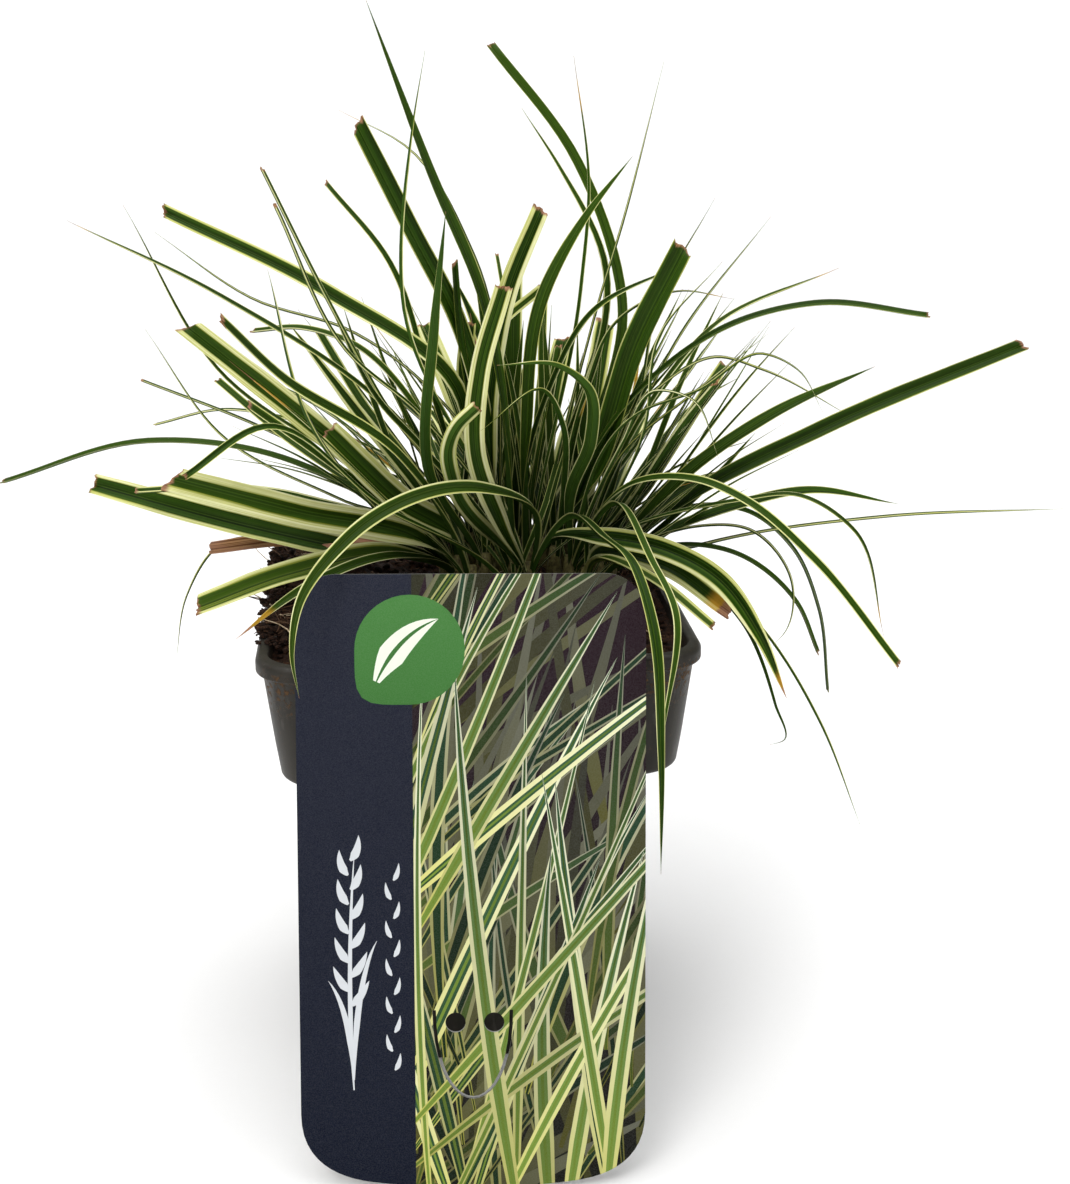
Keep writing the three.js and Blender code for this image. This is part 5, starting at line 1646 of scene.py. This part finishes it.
class SedgeLabelSettings(bpy.types.PropertyGroup):
    """The plant label's print."""
    blades: count_of("Blades", "Printed blades in the middle layer", 44, 80, 4)
    gloss: gloss_of(0.06)
    film: colour_of("Film", "Bare plastic of the card", 236, 236, 232)
    film_shade: colour_of("Film, shade", "Slight mottling of the bare plastic", 214, 214, 210)
    # Painted shade: the cut edge gets a grey darker than the film.
    edge: colour_of("Edge", "Cut edge of the card", 130, 130, 126)
    band: colour_of("Band", "Dark band at the foot", 10, 17, 34)
    band_reflection_top: colour_of("Band, top", "Dark band at the top", 34, 37, 50)
    ground: colour_of("Ground", "Dark ground of the picture at the foot", 16, 18, 10)
    # Lighter top of the band: a painted reflection of the room in the glossy film.
    ground_top: colour_of("Ground, top", "Dark ground of the picture at the top", 40, 26, 34)
    blade_yellow: colour_of("Printed yellow", "Foot of the printed margins", 204, 200, 84)
    blade_tip: colour_of("Printed tips", "Tips of the printed margins", 246, 248, 222)
    blade_green: colour_of("Printed green", "Upper middle of the printed blades", 66, 106, 78)
    blade_dark: colour_of("Printed dark green", "Lower middle of the printed blades", 34, 62, 22)
    blade_light: colour_of("Printed light green", "Lighter middle of the printed blades", 132, 158, 60)
    badge: colour_of("Badge", "Leaf-shaped badge", 62, 112, 54)
    badge_top: colour_of("Badge, top", "Upper part of the badge", 72, 124, 64)
    badge_mark: colour_of("Badge mark", "Leaf in the badge", 232, 240, 222)
    sprig: colour_of("Sprig", "Spike in the dark band", 206, 210, 214)


class SedgeStageSettings(bpy.types.PropertyGroup):
    """The floor, the lamps and the sky."""
    floor: colour_of("Floor", "Colour of the floor", 250, 250, 250)
    floor_shade: colour_of("Floor, shade", "Slight mottling of the floor", 244, 244, 243)
    floor_radius: length_of("Floor radius", "Flat part of the floor", 1.0)
    key_power: FloatProperty(
        name="Key lamp", description="Power of the main lamp", default=5.5, min=0, unit="POWER",
    )
    top_power: FloatProperty(
        name="Top lamp", description="Power of the broad lamp overhead", default=26.0, min=0, unit="POWER",
    )
    sky: FloatProperty(
        name="Sky", description="Strength of the even light from all round", default=0.28, min=0,
    )


# ---------------------------------------------------------------- operators

class SEDGE_OT_pot(bpy.types.Operator):
    """Build the square nursery pot with its collar, lip and drain holes"""
    bl_idname = "sedge.pot"
    bl_label = "Build pot"

    def execute(self, context):
        build_pot(context.scene.sedge_pot)
        return {"FINISHED"}


class SEDGE_OT_peat(bpy.types.Operator):
    """Fill the pot with peat, and lay crumbs and fibres on it"""
    bl_idname = "sedge.peat"
    bl_label = "Fill with peat"

    def execute(self, context):
        build_peat(context.scene.sedge_peat)
        return {"FINISHED"}


class SEDGE_OT_leaves(bpy.types.Operator):
    """Grow the leafy shoots"""
    bl_idname = "sedge.leaves"
    bl_label = "Grow leaves"

    def execute(self, context):
        grow_leaves(context.scene.sedge_leaves)
        return {"FINISHED"}


class SEDGE_OT_label(bpy.types.Operator):
    """Cut and print the plant label, and lean it on the rim"""
    bl_idname = "sedge.label"
    bl_label = "Print label"

    def execute(self, context):
        build_label(context.scene.sedge_label)
        return {"FINISHED"}


class SEDGE_OT_stage(bpy.types.Operator):
    """Set up the floor, the lamps and the camera"""
    bl_idname = "sedge.stage"
    bl_label = "Set up stage"

    def execute(self, context):
        build_stage(context.scene.sedge_stage)
        return {"FINISHED"}


class SEDGE_PT_panel(bpy.types.Panel):
    """Lists the steps and their settings"""
    bl_idname = "SEDGE_PT_panel"
    bl_label = "Potted sedge"
    bl_space_type = "VIEW_3D"
    bl_region_type = "UI"
    bl_category = "Sedge"

    def draw(self, context):
        for key, (settings, operator) in STEPS.items():
            box = self.layout.box()
            group = getattr(context.scene, key)
            for name in settings.__annotations__:
                box.prop(group, name)
            box.operator(operator.bl_idname)


STEPS = {
    "sedge_stage": (SedgeStageSettings, SEDGE_OT_stage),
    "sedge_pot": (SedgePotSettings, SEDGE_OT_pot),
    "sedge_peat": (SedgePeatSettings, SEDGE_OT_peat),
    "sedge_leaves": (SedgeLeafSettings, SEDGE_OT_leaves),
    "sedge_label": (SedgeLabelSettings, SEDGE_OT_label),
}


def register():
    for key, (settings, operator) in STEPS.items():
        bpy.utils.register_class(settings)
        bpy.utils.register_class(operator)
        setattr(bpy.types.Scene, key, PointerProperty(type=settings))
    bpy.utils.register_class(SEDGE_PT_panel)


def unregister():
    bpy.utils.unregister_class(SEDGE_PT_panel)
    for key, (settings, operator) in reversed(STEPS.items()):
        delattr(bpy.types.Scene, key)
        bpy.utils.unregister_class(operator)
        bpy.utils.unregister_class(settings)


def main():
    register()
    bpy.ops.sedge.stage()
    bpy.ops.sedge.pot()
    bpy.ops.sedge.peat()
    bpy.ops.sedge.leaves()
    bpy.ops.sedge.label()


if __name__ == "__main__":
    main()
